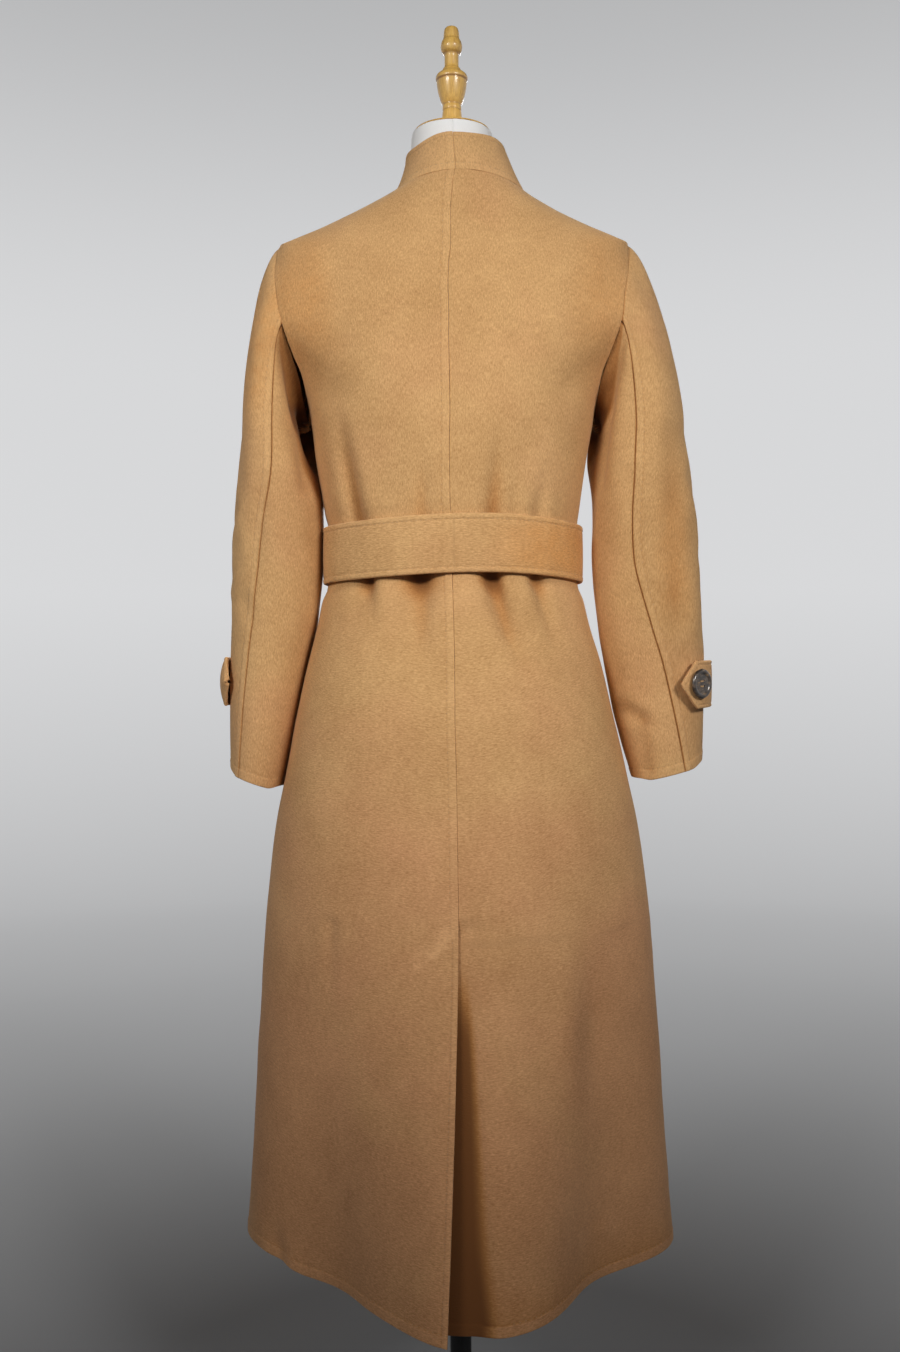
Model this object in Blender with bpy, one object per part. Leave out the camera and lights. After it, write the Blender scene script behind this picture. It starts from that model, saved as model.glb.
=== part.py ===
"""Belted wrap coat of double-faced wool on a limbless dress form.

Metres, +Z up.  The origin is the centre of the base's underside.  The coat's front faces -Y and
the wearer's left is +X.  Every cloth panel is a thin wall on one body surface, which is read by a
row number (hem to neck) and an angle from the centre back or the centre front.
"""
import math
from collections import namedtuple

import bmesh
import bpy
import numpy as np
from mathutils import Vector

# Cloth and seams
CLOTH = 0.0025
DOUBLE_CLOTH = 0.0042
SEAM_GAP = 0.0003

# Coat lengths and heights
HEM_HEIGHT = 0.260
VENT_TOP = 0.635
BELT_LOW = 1.0045
BELT_WIDTH = 0.063
BELT_HIGH = BELT_LOW + BELT_WIDTH
FLARE_TOP = 0.800

# Skirt's growth downwards: the valleys' power law, and how far past the hem it is still defined
VALLEY_POWER = 1.4
PAST_HEM = 1.05

# Centre-back vent
VENT_LIFT = 0.020
VENT_LIFT_POWER = 1.2
VENT_LIFT_SPREAD = math.radians(12.0)
VENT_SWING = 0.0134
VENT_SWING_POWER = 1.3
UNDERLAP_WIDTH = 0.045
UNDERLAP_INSET = 0.0036
UNDERLAP_INSET_AT_HEM = 0.0080
UNDERLAP_INSET_FULL = math.radians(2.0)
UNDERLAP_INSET_NONE = math.radians(10.0)
UNDERLAP_RAMP = 0.012
UNDERLAP_EASE = 0.018
UNDERLAP_START = 0.004
TURN_SHARE = 0.004

# Wrap fronts: the left front lies under the right one as far as they cross
WRAP_INSET = CLOTH + 0.0016
WRAP_INSET_FULL = math.radians(45.0)
WRAP_INSET_NONE = math.radians(75.0)
WRAP_CROSSED = 2.0
WRAP_APART = 22.0

# The share of a front's columns that lie evenly over the crossing, and its least half angle
CROSSING_SHARE = 0.5
CROSSING_LEAST = 6.0

# Gathers widen by this share towards their ends
GATHER_WIDEN = 0.5

# Collar
COLLAR_BOW = 0.003

# Tie belt: its clearance over the gathered waist, and its hidden knot and ends
BELT_CLEAR = 0.0009
KNOT_SIZE = (0.050, 0.026, 0.074)
KNOT_SQUARENESS = 0.7
KNOT_ROUNDNESS = 3
KNOT_POLE = 1.02
TAIL_CLEAR = 0.0007
TAIL_WIDTH = 0.055
TAIL_LENGTH = 0.340
TAIL_LEAN = 0.020
TAIL_TOP = BELT_LOW + BELT_WIDTH / 2
TAIL_PINCH = 0.42
TAIL_SPREAD = 0.070
TAIL_STEP = 0.018

# Cuff tabs and buttons
TAB_WIDTH = 0.052
TAB_POINT = 0.18
TAB_NOSE = 1.02
TAB_BULGE = 0.0080
TAB_REST = 0.0004
BUTTON_RADIUS = 0.0165
BUTTON_SEAT = 0.0004

# Dress form and stand
SHOULDER_SEAT = CLOTH * 1.10 + 2.6 * SEAM_GAP
CAP_TOP = 1.5235
POLE_RADIUS = 0.012
BASE_RADIUS = 0.190

# The body's sections from hem to neck.  The heights are at the centre back, at the side (or the
# armhole, or the shoulder seam) and at the centre front.  An edge is how far behind or before the
# side line a panel ends, a depth is the reach at the centre line, the power is the squareness of
# the superellipse, and the lap is the front edge's angle from the centre front, past it if negative.
Section = namedtuple("Section", "name back_z side_z front_z half_width shift back_edge back_depth "
                                "front_edge front_depth power lap")
BODY = [
    Section("hem", 0.260, 0.260, 0.260, 0.2430, 0.0000, 0, 0.2350, 0, 0.2320, 2.00, -27),
    Section("calf", 0.380, 0.380, 0.380, 0.2345, 0.0000, 0, 0.2140, 0, 0.2110, 2.00, -28),
    Section("knee", 0.510, 0.510, 0.510, 0.2265, 0.0000, 0, 0.1930, 0, 0.1900, 2.00, -29),
    Section("thigh", 0.645, 0.645, 0.645, 0.2165, 0.0000, 0, 0.1700, 0, 0.1670, 2.00, -31),
    Section("low_hip", 0.735, 0.735, 0.735, 0.2045, 0.0005, 0, 0.1550, 0, 0.1500, 2.00, -33),
    Section("hip", 0.790, 0.790, 0.790, 0.1930, 0.0010, 0, 0.1470, 0, 0.1400, 2.00, -35),
    Section("high_hip", 0.857, 0.857, 0.857, 0.1790, 0.0020, 0, 0.1370, 0, 0.1290, 2.05, -38),
    Section("flare", 0.914, 0.914, 0.914, 0.1660, 0.0020, 0, 0.1270, 0, 0.1190, 2.05, -41),
    Section("gather", 0.956, 0.956, 0.956, 0.1545, 0.0025, 0, 0.1190, 0, 0.1120, 2.05, -43),
    Section("bulge", 0.985, 0.985, 0.985, 0.1478, 0.0028, 0, 0.1145, 0, 0.1080, 2.05, -44),
    Section("belt_low", 1.003, 1.003, 1.003, 0.1414, 0.0028, 0, 0.1095, 0, 0.1045, 2.05, -44),
    Section("waist", 1.036, 1.036, 1.036, 0.1414, 0.0028, 0, 0.1095, 0, 0.1045, 2.05, -43),
    Section("belt_high", 1.069, 1.069, 1.069, 0.1414, 0.0028, 0, 0.1095, 0, 0.1045, 2.05, -41),
    Section("blouse", 1.084, 1.084, 1.084, 0.1438, 0.0035, 0, 0.1115, 0, 0.1080, 2.10, -38),
    Section("rib", 1.140, 1.140, 1.140, 0.1525, 0.0037, 0, 0.1150, 0, 0.1170, 2.15, -15),
    Section("underarm", 1.185, 1.185, 1.185, 0.1590, 0.0025, 0, 0.1170, 0, 0.1240, 2.20, -2),
    Section("arm_1", 1.222, 1.222, 1.222, 0.1640, 0.0025, 0.030, 0.1165, 0.030, 0.1210, 2.25, 8),
    Section("arm_2", 1.254, 1.254, 1.254, 0.1735, 0.0025, 0.050, 0.1140, 0.048, 0.1160, 2.30, 15),
    Section("arm_3", 1.287, 1.287, 1.287, 0.1855, 0.0020, 0.061, 0.1100, 0.055, 0.1090, 2.30, 22),
    Section("arm_4", 1.318, 1.321, 1.318, 0.1915, 0.0030, 0.054, 0.1045, 0.050, 0.1010, 2.25, 29),
    Section("arm_5", 1.344, 1.359, 1.340, 0.1965, 0.0020, 0.034, 0.0990, 0.033, 0.0940, 2.15, 35),
    Section("shoulder", 1.367, 1.394, 1.360, 0.1977, -0.0010, 0, 0.0930, 0, 0.0870, 2.05, 41),
    Section("slope_1", 1.391, 1.410, 1.380, 0.1600, -0.0020, 0, 0.0865, 0, 0.0810, 2.00, 47),
    Section("slope_2", 1.416, 1.428, 1.400, 0.1200, -0.0030, 0, 0.0795, 0, 0.0745, 2.00, 54),
    Section("slope_3", 1.438, 1.440, 1.416, 0.0920, -0.0050, 0, 0.0725, 0, 0.0680, 2.00, 60),
    Section("neck", 1.456, 1.4475, 1.428, 0.0755, -0.0075, 0, 0.0660, 0, 0.0640, 2.00, 64),
]
BODY_TABLE = np.array([row[1:] for row in BODY], dtype=float)
ROW = {row.name: number for number, row in enumerate(BODY)}

# The collar's upper edge, as one more section over the neck
COLLAR_EDGE = Section("collar", 1.502, 1.500, 1.496, 0.0555, -0.0030, 0, 0.0505, 0, 0.0530, 2.00, 70)
COLLAR_TILT = 0.006

# Gathers pressed in by the belt: angle from the centre back towards the wearer's left, spread and
# the shift of the fold's foot and head in degrees, depths and reaches in metres
Gather = namedtuple("Gather", "angle spread depth_below reach_below lean_below "
                              "depth_above reach_above lean_above")
GATHERS = [
    Gather(44.5, 5.5, 0.008, 0.060, -1.0, 0.0060, 0.13, 5.0),
    Gather(15.0, 9.0, 0.012, 0.100, 1.0, 0.0030, 0.11, 0.0),
    Gather(-16.3, 6.0, 0.012, 0.120, -11.0, 0.0040, 0.11, -2.0),
    Gather(-39.5, 5.5, 0.007, 0.090, -3.0, 0.0035, 0.07, -2.0),
    Gather(112.0, 8.0, 0.008, 0.090, 2.0, 0.0040, 0.09, -2.0),
    Gather(-118.0, 8.0, 0.009, 0.100, -2.0, 0.0040, 0.08, 2.0),
]

# The skirt's deep soft valleys between its ridges, full depth at the hem
Valley = namedtuple("Valley", "angle half_span depth")
VALLEYS = [
    Valley(46.0, 48.0, 0.060),
    Valley(-50.0, 43.0, 0.060),
    Valley(135.0, 45.0, 0.045),
    Valley(-135.0, 45.0, 0.045),
]

# Sleeve sections from bicep to cuff: the reach of the outer and inner sides from the middle plane,
# the tube's middle and half depth front to back, how much higher the outer side is, and the back
# seam's angle round the tube from its outer side
SleeveRow = namedtuple("SleeveRow", "height outer inner middle_y half_depth tilt seam")
SLEEVE_LEFT = [
    SleeveRow(1.1715, 0.2439, 0.1750, 0.004, 0.070, 0.000, 83),
    SleeveRow(1.1076, 0.2498, 0.1572, 0.004, 0.066, 0.000, 71),
    SleeveRow(1.0620, 0.2533, 0.1512, 0.003, 0.062, 0.000, 65),
    SleeveRow(1.0243, 0.2561, 0.1518, 0.002, 0.058, 0.000, 62),
    SleeveRow(0.9707, 0.2565, 0.1590, 0.000, 0.055, 0.000, 58),
    SleeveRow(0.9011, 0.2573, 0.1748, -0.003, 0.054, 0.006, 53),
    SleeveRow(0.8316, 0.2587, 0.1895, -0.006, 0.054, 0.014, 47),
    SleeveRow(0.7835, 0.2577, 0.2030, -0.008, 0.053, 0.022, 41),
]
SLEEVE_RIGHT = [
    SleeveRow(1.1715, 0.2630, 0.1632, 0.004, 0.066, 0.000, 95),
    SleeveRow(1.1304, 0.2680, 0.1590, 0.004, 0.064, 0.000, 97),
    SleeveRow(1.0745, 0.2746, 0.1574, 0.003, 0.059, 0.000, 101),
    SleeveRow(1.0300, 0.2768, 0.1560, 0.002, 0.053, 0.000, 98),
    SleeveRow(0.9559, 0.2803, 0.1626, 0.000, 0.050, 0.002, 86),
    SleeveRow(0.9137, 0.2822, 0.1700, -0.002, 0.049, 0.005, 78),
    SleeveRow(0.8635, 0.2819, 0.1800, -0.004, 0.048, 0.009, 71),
    SleeveRow(0.7900, 0.2798, 0.2010, -0.006, 0.047, 0.014, 64),
]
FRONT_SEAM = 80.0
SLEEVE_SEAM = 0.0004
SLEEVE_TRIM = 0.0008

# The way a cap leaves its armhole: outwards, to the back and down, what the shoulder point adds to
# it, and how strongly the cap holds that way and the tube's
CAP_OUT = 0.60
CAP_OUT_AT_TOP = 0.312
CAP_BACK = 0.18
CAP_DOWN = 0.62
CAP_DOWN_AT_TOP = -0.21
CAP_START = 0.35
CAP_END = 1.0

# Tabs and buttons on the cuffs: height, tab's root and tip and the button's place in degrees round
# the sleeve from its outer side, towards the back
Tab = namedtuple("Tab", "height root tip button")
TAB_LEFT = Tab(0.894, -62, 46, 12)
TAB_RIGHT = Tab(0.889, -62, 56, 30)

# The dress form from its underside to its neck.  The shoulder rows come from the coat's own.
TorsoRow = namedtuple("TorsoRow", "back_z side_z front_z half_width shift back_depth front_depth power")
TORSO_LOW = [
    TorsoRow(0.800, 0.800, 0.800, 0.1520, 0, 0.1080, 0.0920, 2.2),
    TorsoRow(0.806, 0.806, 0.806, 0.1570, 0, 0.1120, 0.0960, 2.2),
    TorsoRow(0.850, 0.850, 0.850, 0.1610, 0, 0.1160, 0.0980, 2.2),
    TorsoRow(0.900, 0.900, 0.900, 0.1540, 0, 0.1080, 0.0940, 2.2),
    TorsoRow(0.956, 0.956, 0.956, 0.1370, 0, 0.0950, 0.0880, 2.2),
    TorsoRow(1.036, 1.036, 1.036, 0.1190, 0, 0.0850, 0.0820, 2.2),
    TorsoRow(1.100, 1.100, 1.100, 0.1240, 0, 0.0890, 0.0920, 2.2),
    TorsoRow(1.185, 1.185, 1.185, 0.1360, 0, 0.0960, 0.1080, 2.3),
    TorsoRow(1.250, 1.250, 1.250, 0.1430, 0, 0.0960, 0.1040, 2.3),
    TorsoRow(1.300, 1.304, 1.298, 0.1510, 0, 0.0900, 0.0940, 2.3),
    TorsoRow(1.334, 1.350, 1.328, 0.1660, 0, 0.0840, 0.0830, 2.2),
    TorsoRow(1.352, 1.378, 1.344, 0.1720, -0.001, 0.0800, 0.0760, 2.1),
]
TORSO_BACK_INSET = 0.0105
TORSO_FRONT_INSET = 0.0140
TORSO_SHOULDER_DROP = 0.006
TORSO_NECK = [
    TorsoRow(1.447, 1.4430, 1.432, 0.0590, -0.003, 0.0505, 0.0490, 2.0),
    TorsoRow(1.462, 1.4590, 1.454, 0.0515, -0.001, 0.0470, 0.0465, 2.0),
    TorsoRow(1.485, 1.4850, 1.484, 0.0478, 0, 0.0455, 0.0455, 2.0),
    TorsoRow(1.508, 1.5080, 1.508, 0.0466, 0, 0.0450, 0.0450, 2.0),
    TorsoRow(1.515, 1.5150, 1.515, 0.0450, 0, 0.0440, 0.0440, 2.0),
    TorsoRow(1.517, 1.5170, 1.517, 0.0425, 0, 0.0415, 0.0415, 2.0),
]

# Turned profiles, as radius and height from the top down
Turn = namedtuple("Turn", "radius height")
FINIAL = [
    Turn(0.0000, 1.6403), Turn(0.0050, 1.6392), Turn(0.0082, 1.6355), Turn(0.0093, 1.6300),
    Turn(0.0095, 1.6250), Turn(0.0112, 1.6220), Turn(0.0123, 1.6165), Turn(0.0112, 1.6115),
    Turn(0.0084, 1.6085), Turn(0.0076, 1.6035), Turn(0.0083, 1.5945), Turn(0.0095, 1.5910),
    Turn(0.0130, 1.5880), Turn(0.0172, 1.5845), Turn(0.0182, 1.5805), Turn(0.0172, 1.5750),
    Turn(0.0140, 1.5610), Turn(0.0101, 1.5520), Turn(0.0108, 1.5470), Turn(0.0108, 1.5400),
    Turn(0.0130, 1.5270), Turn(0.0130, CAP_TOP + SEAM_GAP), Turn(0.0000, CAP_TOP + SEAM_GAP),
]
NECK_CAP = [
    Turn(0.0000, CAP_TOP), Turn(0.0330, CAP_TOP), Turn(0.0425, 1.5218), Turn(0.0438, 1.5198),
    Turn(0.0430, 1.5176), Turn(0.0410, 1.5173), Turn(0.0000, 1.5173),
]
BASE = [
    Turn(0.0000, 0.0500), Turn(0.0200, 0.0500), Turn(0.0220, 0.0480), Turn(0.0230, 0.0260),
    Turn(0.0600, 0.0190), Turn(BASE_RADIUS - 0.012, 0.0140), Turn(BASE_RADIUS - 0.002, 0.0110),
    Turn(BASE_RADIUS, 0.0070), Turn(BASE_RADIUS, 0.0030), Turn(BASE_RADIUS - 0.002, 0.0000),
    Turn(0.0000, 0.0000),
]
POLE_FOOT = 0.0500 + SEAM_GAP
BUTTON = [
    Turn(0.0000, 0.0036), Turn(0.0100, 0.0034), Turn(0.0118, 0.0044), Turn(0.0136, 0.0050),
    Turn(0.0155, 0.0044), Turn(BUTTON_RADIUS, 0.0026), Turn(0.0152, 0.0008), Turn(0.0110, 0.0000),
    Turn(0.0000, 0.0000),
]

# Mesh density; the back is finer over the share of its width that the gathers fill
GATHERED_SHARE = 0.62
BACK_COLUMNS = np.concatenate([np.linspace(0, GATHERED_SHARE, 12), np.linspace(GATHERED_SHARE, 1, 5)[1:]])
FRONT_COLUMNS = np.linspace(0, 1, 13)
SKIRT_ROWS = np.arange(ROW["hem"], ROW["underarm"])
ARMHOLE_ROWS = np.linspace(ROW["underarm"], ROW["shoulder"], 13)
SLOPE_ROWS = np.arange(ROW["slope_1"], ROW["neck"] + 1)
BODY_ROWS = np.concatenate([SKIRT_ROWS, ARMHOLE_ROWS, SLOPE_ROWS])
UNDERLAP_SHARE = 0.10
RIGHT_BACK_COLUMNS = np.concatenate([np.linspace(0, UNDERLAP_SHARE, 4)[:-1],
                                     UNDERLAP_SHARE + (1 - UNDERLAP_SHARE) * BACK_COLUMNS])
COLLAR_ROWS = np.linspace(0.008, 1, 4)
COLLAR_COLUMNS = np.linspace(0, 1, 17)
TAB_ROWS = np.linspace(-1, 1, 4)
TAB_COLUMNS = np.concatenate([np.linspace(0, 1 - TAB_POINT, 8), [1 - TAB_POINT / 2, 1.0]])
TAIL_ROWS = np.linspace(0, 1, 11)
TAIL_COLUMNS = np.linspace(-0.5, 0.5, 4)
KNOT_RINGS = 9
KNOT_SWEEP = np.linspace(0, 2 * math.pi, 14, endpoint=False)
BUTTON_SEGMENTS = 20
SLEEVE_COLUMNS = 12
CAP_ROWS = np.linspace(0, 1, 6)
BELT_SEGMENTS = 44
TORSO_SEGMENTS = 24
TURN_SEGMENTS = 18
CAP_SEGMENTS = 24
BASE_SEGMENTS = 32

# Finishes: colour, roughness and metallic value
Finish = namedtuple("Finish", "colour roughness metallic")
WOOL = Finish((0.560, 0.330, 0.140), 0.90, 0.0)
HORN = Finish((0.045, 0.030, 0.020), 0.35, 0.0)
COVER = Finish((0.780, 0.770, 0.750), 0.85, 0.0)
WOOD = Finish((0.590, 0.350, 0.110), 0.35, 0.0)
BLACK_METAL = Finish((0.012, 0.012, 0.013), 0.40, 0.6)

DERIVATIVE_STEP = 1e-4


def clear_scene():
    """Remove every object that the scene holds."""
    for thing in list(bpy.data.objects):
        bpy.data.objects.remove(thing, do_unlink=True)


def finish_material(name, finish):
    """A Principled material named for its piece."""
    material = bpy.data.materials.new(name)
    material.use_nodes = True
    shader = material.node_tree.nodes["Principled BSDF"]
    shader.inputs["Base Color"].default_value = (*finish.colour, 1.0)
    shader.inputs["Roughness"].default_value = finish.roughness
    shader.inputs["Metallic"].default_value = finish.metallic
    return material


def add_object(name, points, faces, finish):
    """One smooth-shaded object with its faces turned outwards."""
    mesh = bpy.data.meshes.new(name)
    mesh.from_pydata([tuple(point) for point in points], [], faces)
    shell = bmesh.new()
    shell.from_mesh(mesh)
    bmesh.ops.recalc_face_normals(shell, faces=shell.faces)
    shell.to_mesh(mesh)
    shell.free()
    mesh.shade_smooth()
    mesh.set_sharp_from_angle(angle=math.radians(40.0))
    mesh.materials.append(finish_material(name, finish))
    piece = bpy.data.objects.new(name, mesh)
    bpy.context.scene.collection.objects.link(piece)
    return piece


def along(table, at):
    """Rows of a table joined by a monotone cubic, read at fractional row numbers."""
    step = np.diff(table, axis=0)
    before = step[:-1]
    after = step[1:]
    total = before + after
    same_way = before * after > 0
    inner = np.where(same_way, 2 * before * after / np.where(total == 0, 1, total), 0)
    slope = np.vstack([step[:1], inner, step[-1:]])
    low = np.clip(np.floor(at).astype(int), 0, len(table) - 2)
    share = (np.asarray(at) - low)[..., None]
    rest = 1 - share
    return ((1 + 2 * share) * rest ** 2 * table[low] + share * rest ** 2 * slope[low]
            + share ** 2 * (3 - 2 * share) * table[low + 1] - share ** 2 * rest * slope[low + 1])


def signed_power(value, power):
    """A power that keeps its value's sign."""
    return np.sign(value) * np.abs(value) ** power


def ramp(value, start, end):
    """A smooth step from 0 at start to 1 at end."""
    share = np.clip((value - start) / (end - start), 0, 1)
    return share * share * (3 - 2 * share)


def wrapped(degrees):
    """An angle difference brought to within half a turn."""
    return (degrees + 180.0) % 360.0 - 180.0


def gather_depth(angle, height):
    """How far the belt's gathers pull the cloth in, at angles in degrees from the centre back."""
    depth = np.zeros(np.broadcast(angle, height).shape)
    for fold in GATHERS:
        above = np.clip((height - BELT_HIGH) / fold.reach_above, 0, 1)
        below = np.clip((BELT_LOW - height) / fold.reach_below, 0, 1)
        middle = np.clip((height - BELT_LOW) / BELT_WIDTH, 0, 1)
        full = fold.depth_below * (1 - middle) + fold.depth_above * middle
        fade = np.cos(np.maximum(above, below) * math.pi / 2) ** 2
        centre = fold.angle + fold.lean_above * above + fold.lean_below * below
        spread = fold.spread * (1 + GATHER_WIDEN * np.maximum(above, below))
        depth = depth + full * fade * np.exp(-(wrapped(angle - centre) / spread) ** 2)
    return depth


def valley_depth(angle, height):
    """How far the skirt's valleys lie in, growing from the hips to the hem."""
    share = np.clip((FLARE_TOP - height) / (FLARE_TOP - HEM_HEIGHT), 0, PAST_HEM) ** VALLEY_POWER
    depth = np.zeros(np.broadcast(angle, height).shape)
    for valley in VALLEYS:
        away = np.clip(np.abs(wrapped(angle - valley.angle)) / valley.half_span, 0, 1)
        depth = depth + valley.depth * share * np.cos(away * math.pi / 2) ** 2
    return depth


def vent_share(height):
    """0 at the vent's top and above, 1 at the hem."""
    return np.clip((VENT_TOP - height) / (VENT_TOP - HEM_HEIGHT), 0, PAST_HEM)


class Body:
    """A quarter of the coat's body: one side, front or back."""

    def __init__(self, side, front):
        self.side = side
        self.front = front

    def rows(self, at):
        """The sections at fractional row numbers, as named columns."""
        return Section("", *np.moveaxis(along(BODY_TABLE, at), -1, 0))

    def edge_angle(self, row):
        """The angle from the centre line to the side seam, armhole or shoulder seam."""
        edge, depth = (row.front_edge, row.front_depth) if self.front else (row.back_edge, row.back_depth)
        return np.arccos(np.clip(edge / depth, 0, 1) ** (row.power / 2))

    def angles(self, at, share):
        """Angles for shares of a panel's width: back from centre to edge, front from edge to centre."""
        row = self.rows(at)
        edge = self.edge_angle(row)
        seam = SEAM_GAP / 2 / (row.front_depth if self.front else row.back_depth)
        at_armhole = (at > ROW["underarm"]) & (at < ROW["shoulder"])
        edge = np.where(at_armhole, edge, edge - seam)
        if self.front:
            end = np.radians(row.lap)
            inner = end + 2 * np.radians(np.maximum(-row.lap, CROSSING_LEAST))
            outside = edge + (inner - edge) * share / CROSSING_SHARE
            crossing = inner + (end - inner) * (share - CROSSING_SHARE) / (1 - CROSSING_SHARE)
            return np.where(share < CROSSING_SHARE, outside, crossing)
        swing = VENT_SWING * vent_share(row.back_z) ** VENT_SWING_POWER if self.side > 0 else 0
        start = np.arcsin((SEAM_GAP / 2 + swing) / row.half_width)
        return start + (edge - start) * share

    def lift(self, row, angle):
        """What the vent and the wrap add to the body's own radius."""
        share = vent_share(row.back_z)
        if self.front and self.side > 0:
            crossed = ramp(row.lap, WRAP_APART, WRAP_CROSSED)
            return -WRAP_INSET * crossed * ramp(angle, WRAP_INSET_NONE, WRAP_INSET_FULL)
        if not self.front and self.side > 0:
            return VENT_LIFT * share ** VENT_LIFT_POWER * np.exp(-(angle / VENT_LIFT_SPREAD) ** 2)
        if not self.front:
            ease = ramp(row.back_z, VENT_TOP + UNDERLAP_START + UNDERLAP_EASE, VENT_TOP + UNDERLAP_START)
            inset = UNDERLAP_INSET + (UNDERLAP_INSET_AT_HEM - UNDERLAP_INSET) * share
            return -inset * ease * ramp(angle, UNDERLAP_INSET_NONE, UNDERLAP_INSET_FULL)
        return np.zeros(np.broadcast(angle, share).shape)

    def point(self, at, angle, folded=True):
        """Points of the body's outer face."""
        row = self.rows(at)
        edge = self.edge_angle(row)
        depth = row.front_depth if self.front else row.back_depth
        middle = row.front_z if self.front else row.back_z
        reach = row.half_width / np.sin(edge) ** (2 / row.power)
        x = self.side * reach * signed_power(np.sin(angle), 2 / row.power)
        y = depth * signed_power(np.cos(angle), 2 / row.power) * (-1 if self.front else 1)
        z = row.side_z + (middle - row.side_z) * np.cos(angle / edge * math.pi / 2) ** 2
        if folded:
            turn = math.pi - angle if self.front else angle
            degrees = np.degrees(self.side * turn)
            out = self.lift(row, angle) - gather_depth(degrees, z) - valley_depth(degrees, z)
            length = np.hypot(x, y)
            x = x * (1 + out / length)
            y = y * (1 + out / length)
        return np.stack([x + row.shift, y, z], axis=-1)

    def panel(self, at, share):
        """Points of a whole panel, by row number and share of its width."""
        return self.point(at, self.angles(at, share))


def normals(surface, rows, columns, facing):
    """Unit normals of a surface from small steps along its rows and columns."""
    up = surface(rows + DERIVATIVE_STEP, columns) - surface(rows - DERIVATIVE_STEP, columns)
    across = surface(rows, columns + DERIVATIVE_STEP) - surface(rows, columns - DERIVATIVE_STEP)
    normal = np.cross(up, across) * facing
    return normal / np.linalg.norm(normal, axis=-1, keepdims=True)


def grid_faces(rows, columns, offset, closed):
    """Quads of a grid of points, with its last column joined to its first when closed."""
    faces = []
    for i in range(rows - 1):
        for j in range(columns if closed else columns - 1):
            k = (j + 1) % columns
            faces.append((offset + i * columns + j, offset + i * columns + k,
                          offset + (i + 1) * columns + k, offset + (i + 1) * columns + j))
    return faces


def add_wall(name, outer, normal, thickness, finish, closed=False):
    """A cloth wall: an outer grid, the same grid moved in, and a rim round the edges."""
    rows, columns = outer.shape[:2]
    inner = outer - normal * thickness
    count = rows * columns
    faces = grid_faces(rows, columns, 0, closed)
    faces += [face[::-1] for face in grid_faces(rows, columns, count, closed)]
    rim = []
    for j in range(columns if closed else columns - 1):
        k = (j + 1) % columns
        rim.append((j, k))
        rim.append(((rows - 1) * columns + k, (rows - 1) * columns + j))
    if not closed:
        for i in range(rows - 1):
            rim.append(((i + 1) * columns, i * columns))
            rim.append((i * columns + columns - 1, (i + 1) * columns + columns - 1))
    faces += [(b, a, a + count, b + count) for a, b in rim]
    points = np.concatenate([outer.reshape(-1, 3), inner.reshape(-1, 3)])
    return add_object(name, points, faces, finish)


def add_panel(name, surface, rows, columns, facing, finish=WOOL, thickness=CLOTH):
    """A wall on a surface that is a function of row number and column share."""
    at, share = np.meshgrid(rows, columns, indexing="ij")
    return add_wall(name, surface(at, share), normals(surface, at, share, facing), thickness, finish)


def row_at_height(height):
    """The row number of the body at heights below the underarm."""
    numbers = np.linspace(0, ROW["underarm"], 1500)
    return np.interp(height, along(BODY_TABLE, numbers)[:, 0], numbers)


def add_backs():
    """The two back halves.  Below the vent's top the right one runs on under the left one."""
    vent_rows = row_at_height(np.array([VENT_TOP - UNDERLAP_RAMP, VENT_TOP, VENT_TOP + UNDERLAP_START,
                                        VENT_TOP + UNDERLAP_START + UNDERLAP_EASE]))
    rows = np.sort(np.concatenate([BODY_ROWS, vent_rows]))
    left = Body(1, False)
    add_panel("back_left", left.panel, rows, BACK_COLUMNS, left.side)
    right = Body(-1, False)

    def right_panel(at, share):
        """The right half, whose first columns open into the underlap."""
        row = right.rows(at)
        seam = right.angles(at, np.zeros_like(at))
        turn = right.angles(at, np.full_like(at, TURN_SHARE))
        under = -np.arcsin(UNDERLAP_WIDTH / row.half_width)
        start = seam + (under - seam) * ramp(row.back_z, VENT_TOP, VENT_TOP - UNDERLAP_RAMP)
        flap = share / UNDERLAP_SHARE
        main = (share - UNDERLAP_SHARE) / (1 - UNDERLAP_SHARE)
        angle = np.where(share < UNDERLAP_SHARE, start + (turn - start) * flap,
                         right.angles(at, TURN_SHARE + (1 - TURN_SHARE) * main))
        return right.point(at, angle)

    add_panel("back_right", right_panel, rows, RIGHT_BACK_COLUMNS, right.side)


def add_fronts():
    """The two wrap fronts, from side seam to front edge."""
    for name, side in (("front_left", 1), ("front_right", -1)):
        body = Body(side, True)
        add_panel(name, body.panel, BODY_ROWS, FRONT_COLUMNS, side)


def add_collar():
    """The two halves of the standing collar, from the centre-back seam to the front edge."""
    neck = BODY[ROW["neck"]]
    ends = np.array([neck[1:], COLLAR_EDGE[1:]], dtype=float)
    for name, side in (("collar_left", 1), ("collar_right", -1)):

        def half(rise, share, side=side):
            """Points by share of the collar's height and of its sweep round the neck."""
            row = Section("", *np.moveaxis(ends[0] + (ends[1] - ends[0]) * rise[..., None], -1, 0))
            bow = COLLAR_BOW * 4 * rise * (1 - rise)
            start = SEAM_GAP / 2 / row.half_width
            sweep = start + (math.pi - np.radians(row.lap) - start) * share
            back = np.cos(sweep) > 0
            depth = np.where(back, row.back_depth, row.front_depth) + bow
            middle = np.where(back, row.back_z, row.front_z)
            x = row.shift + side * (row.half_width + bow) * np.sin(sweep)
            z = row.side_z + (middle - row.side_z) * np.cos(sweep) ** 2
            z = z - COLLAR_TILT * rise * side * np.sin(sweep)
            return np.stack([x, depth * np.cos(sweep), z], axis=-1)

        add_panel(name, half, COLLAR_ROWS, COLLAR_COLUMNS, side)


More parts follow.
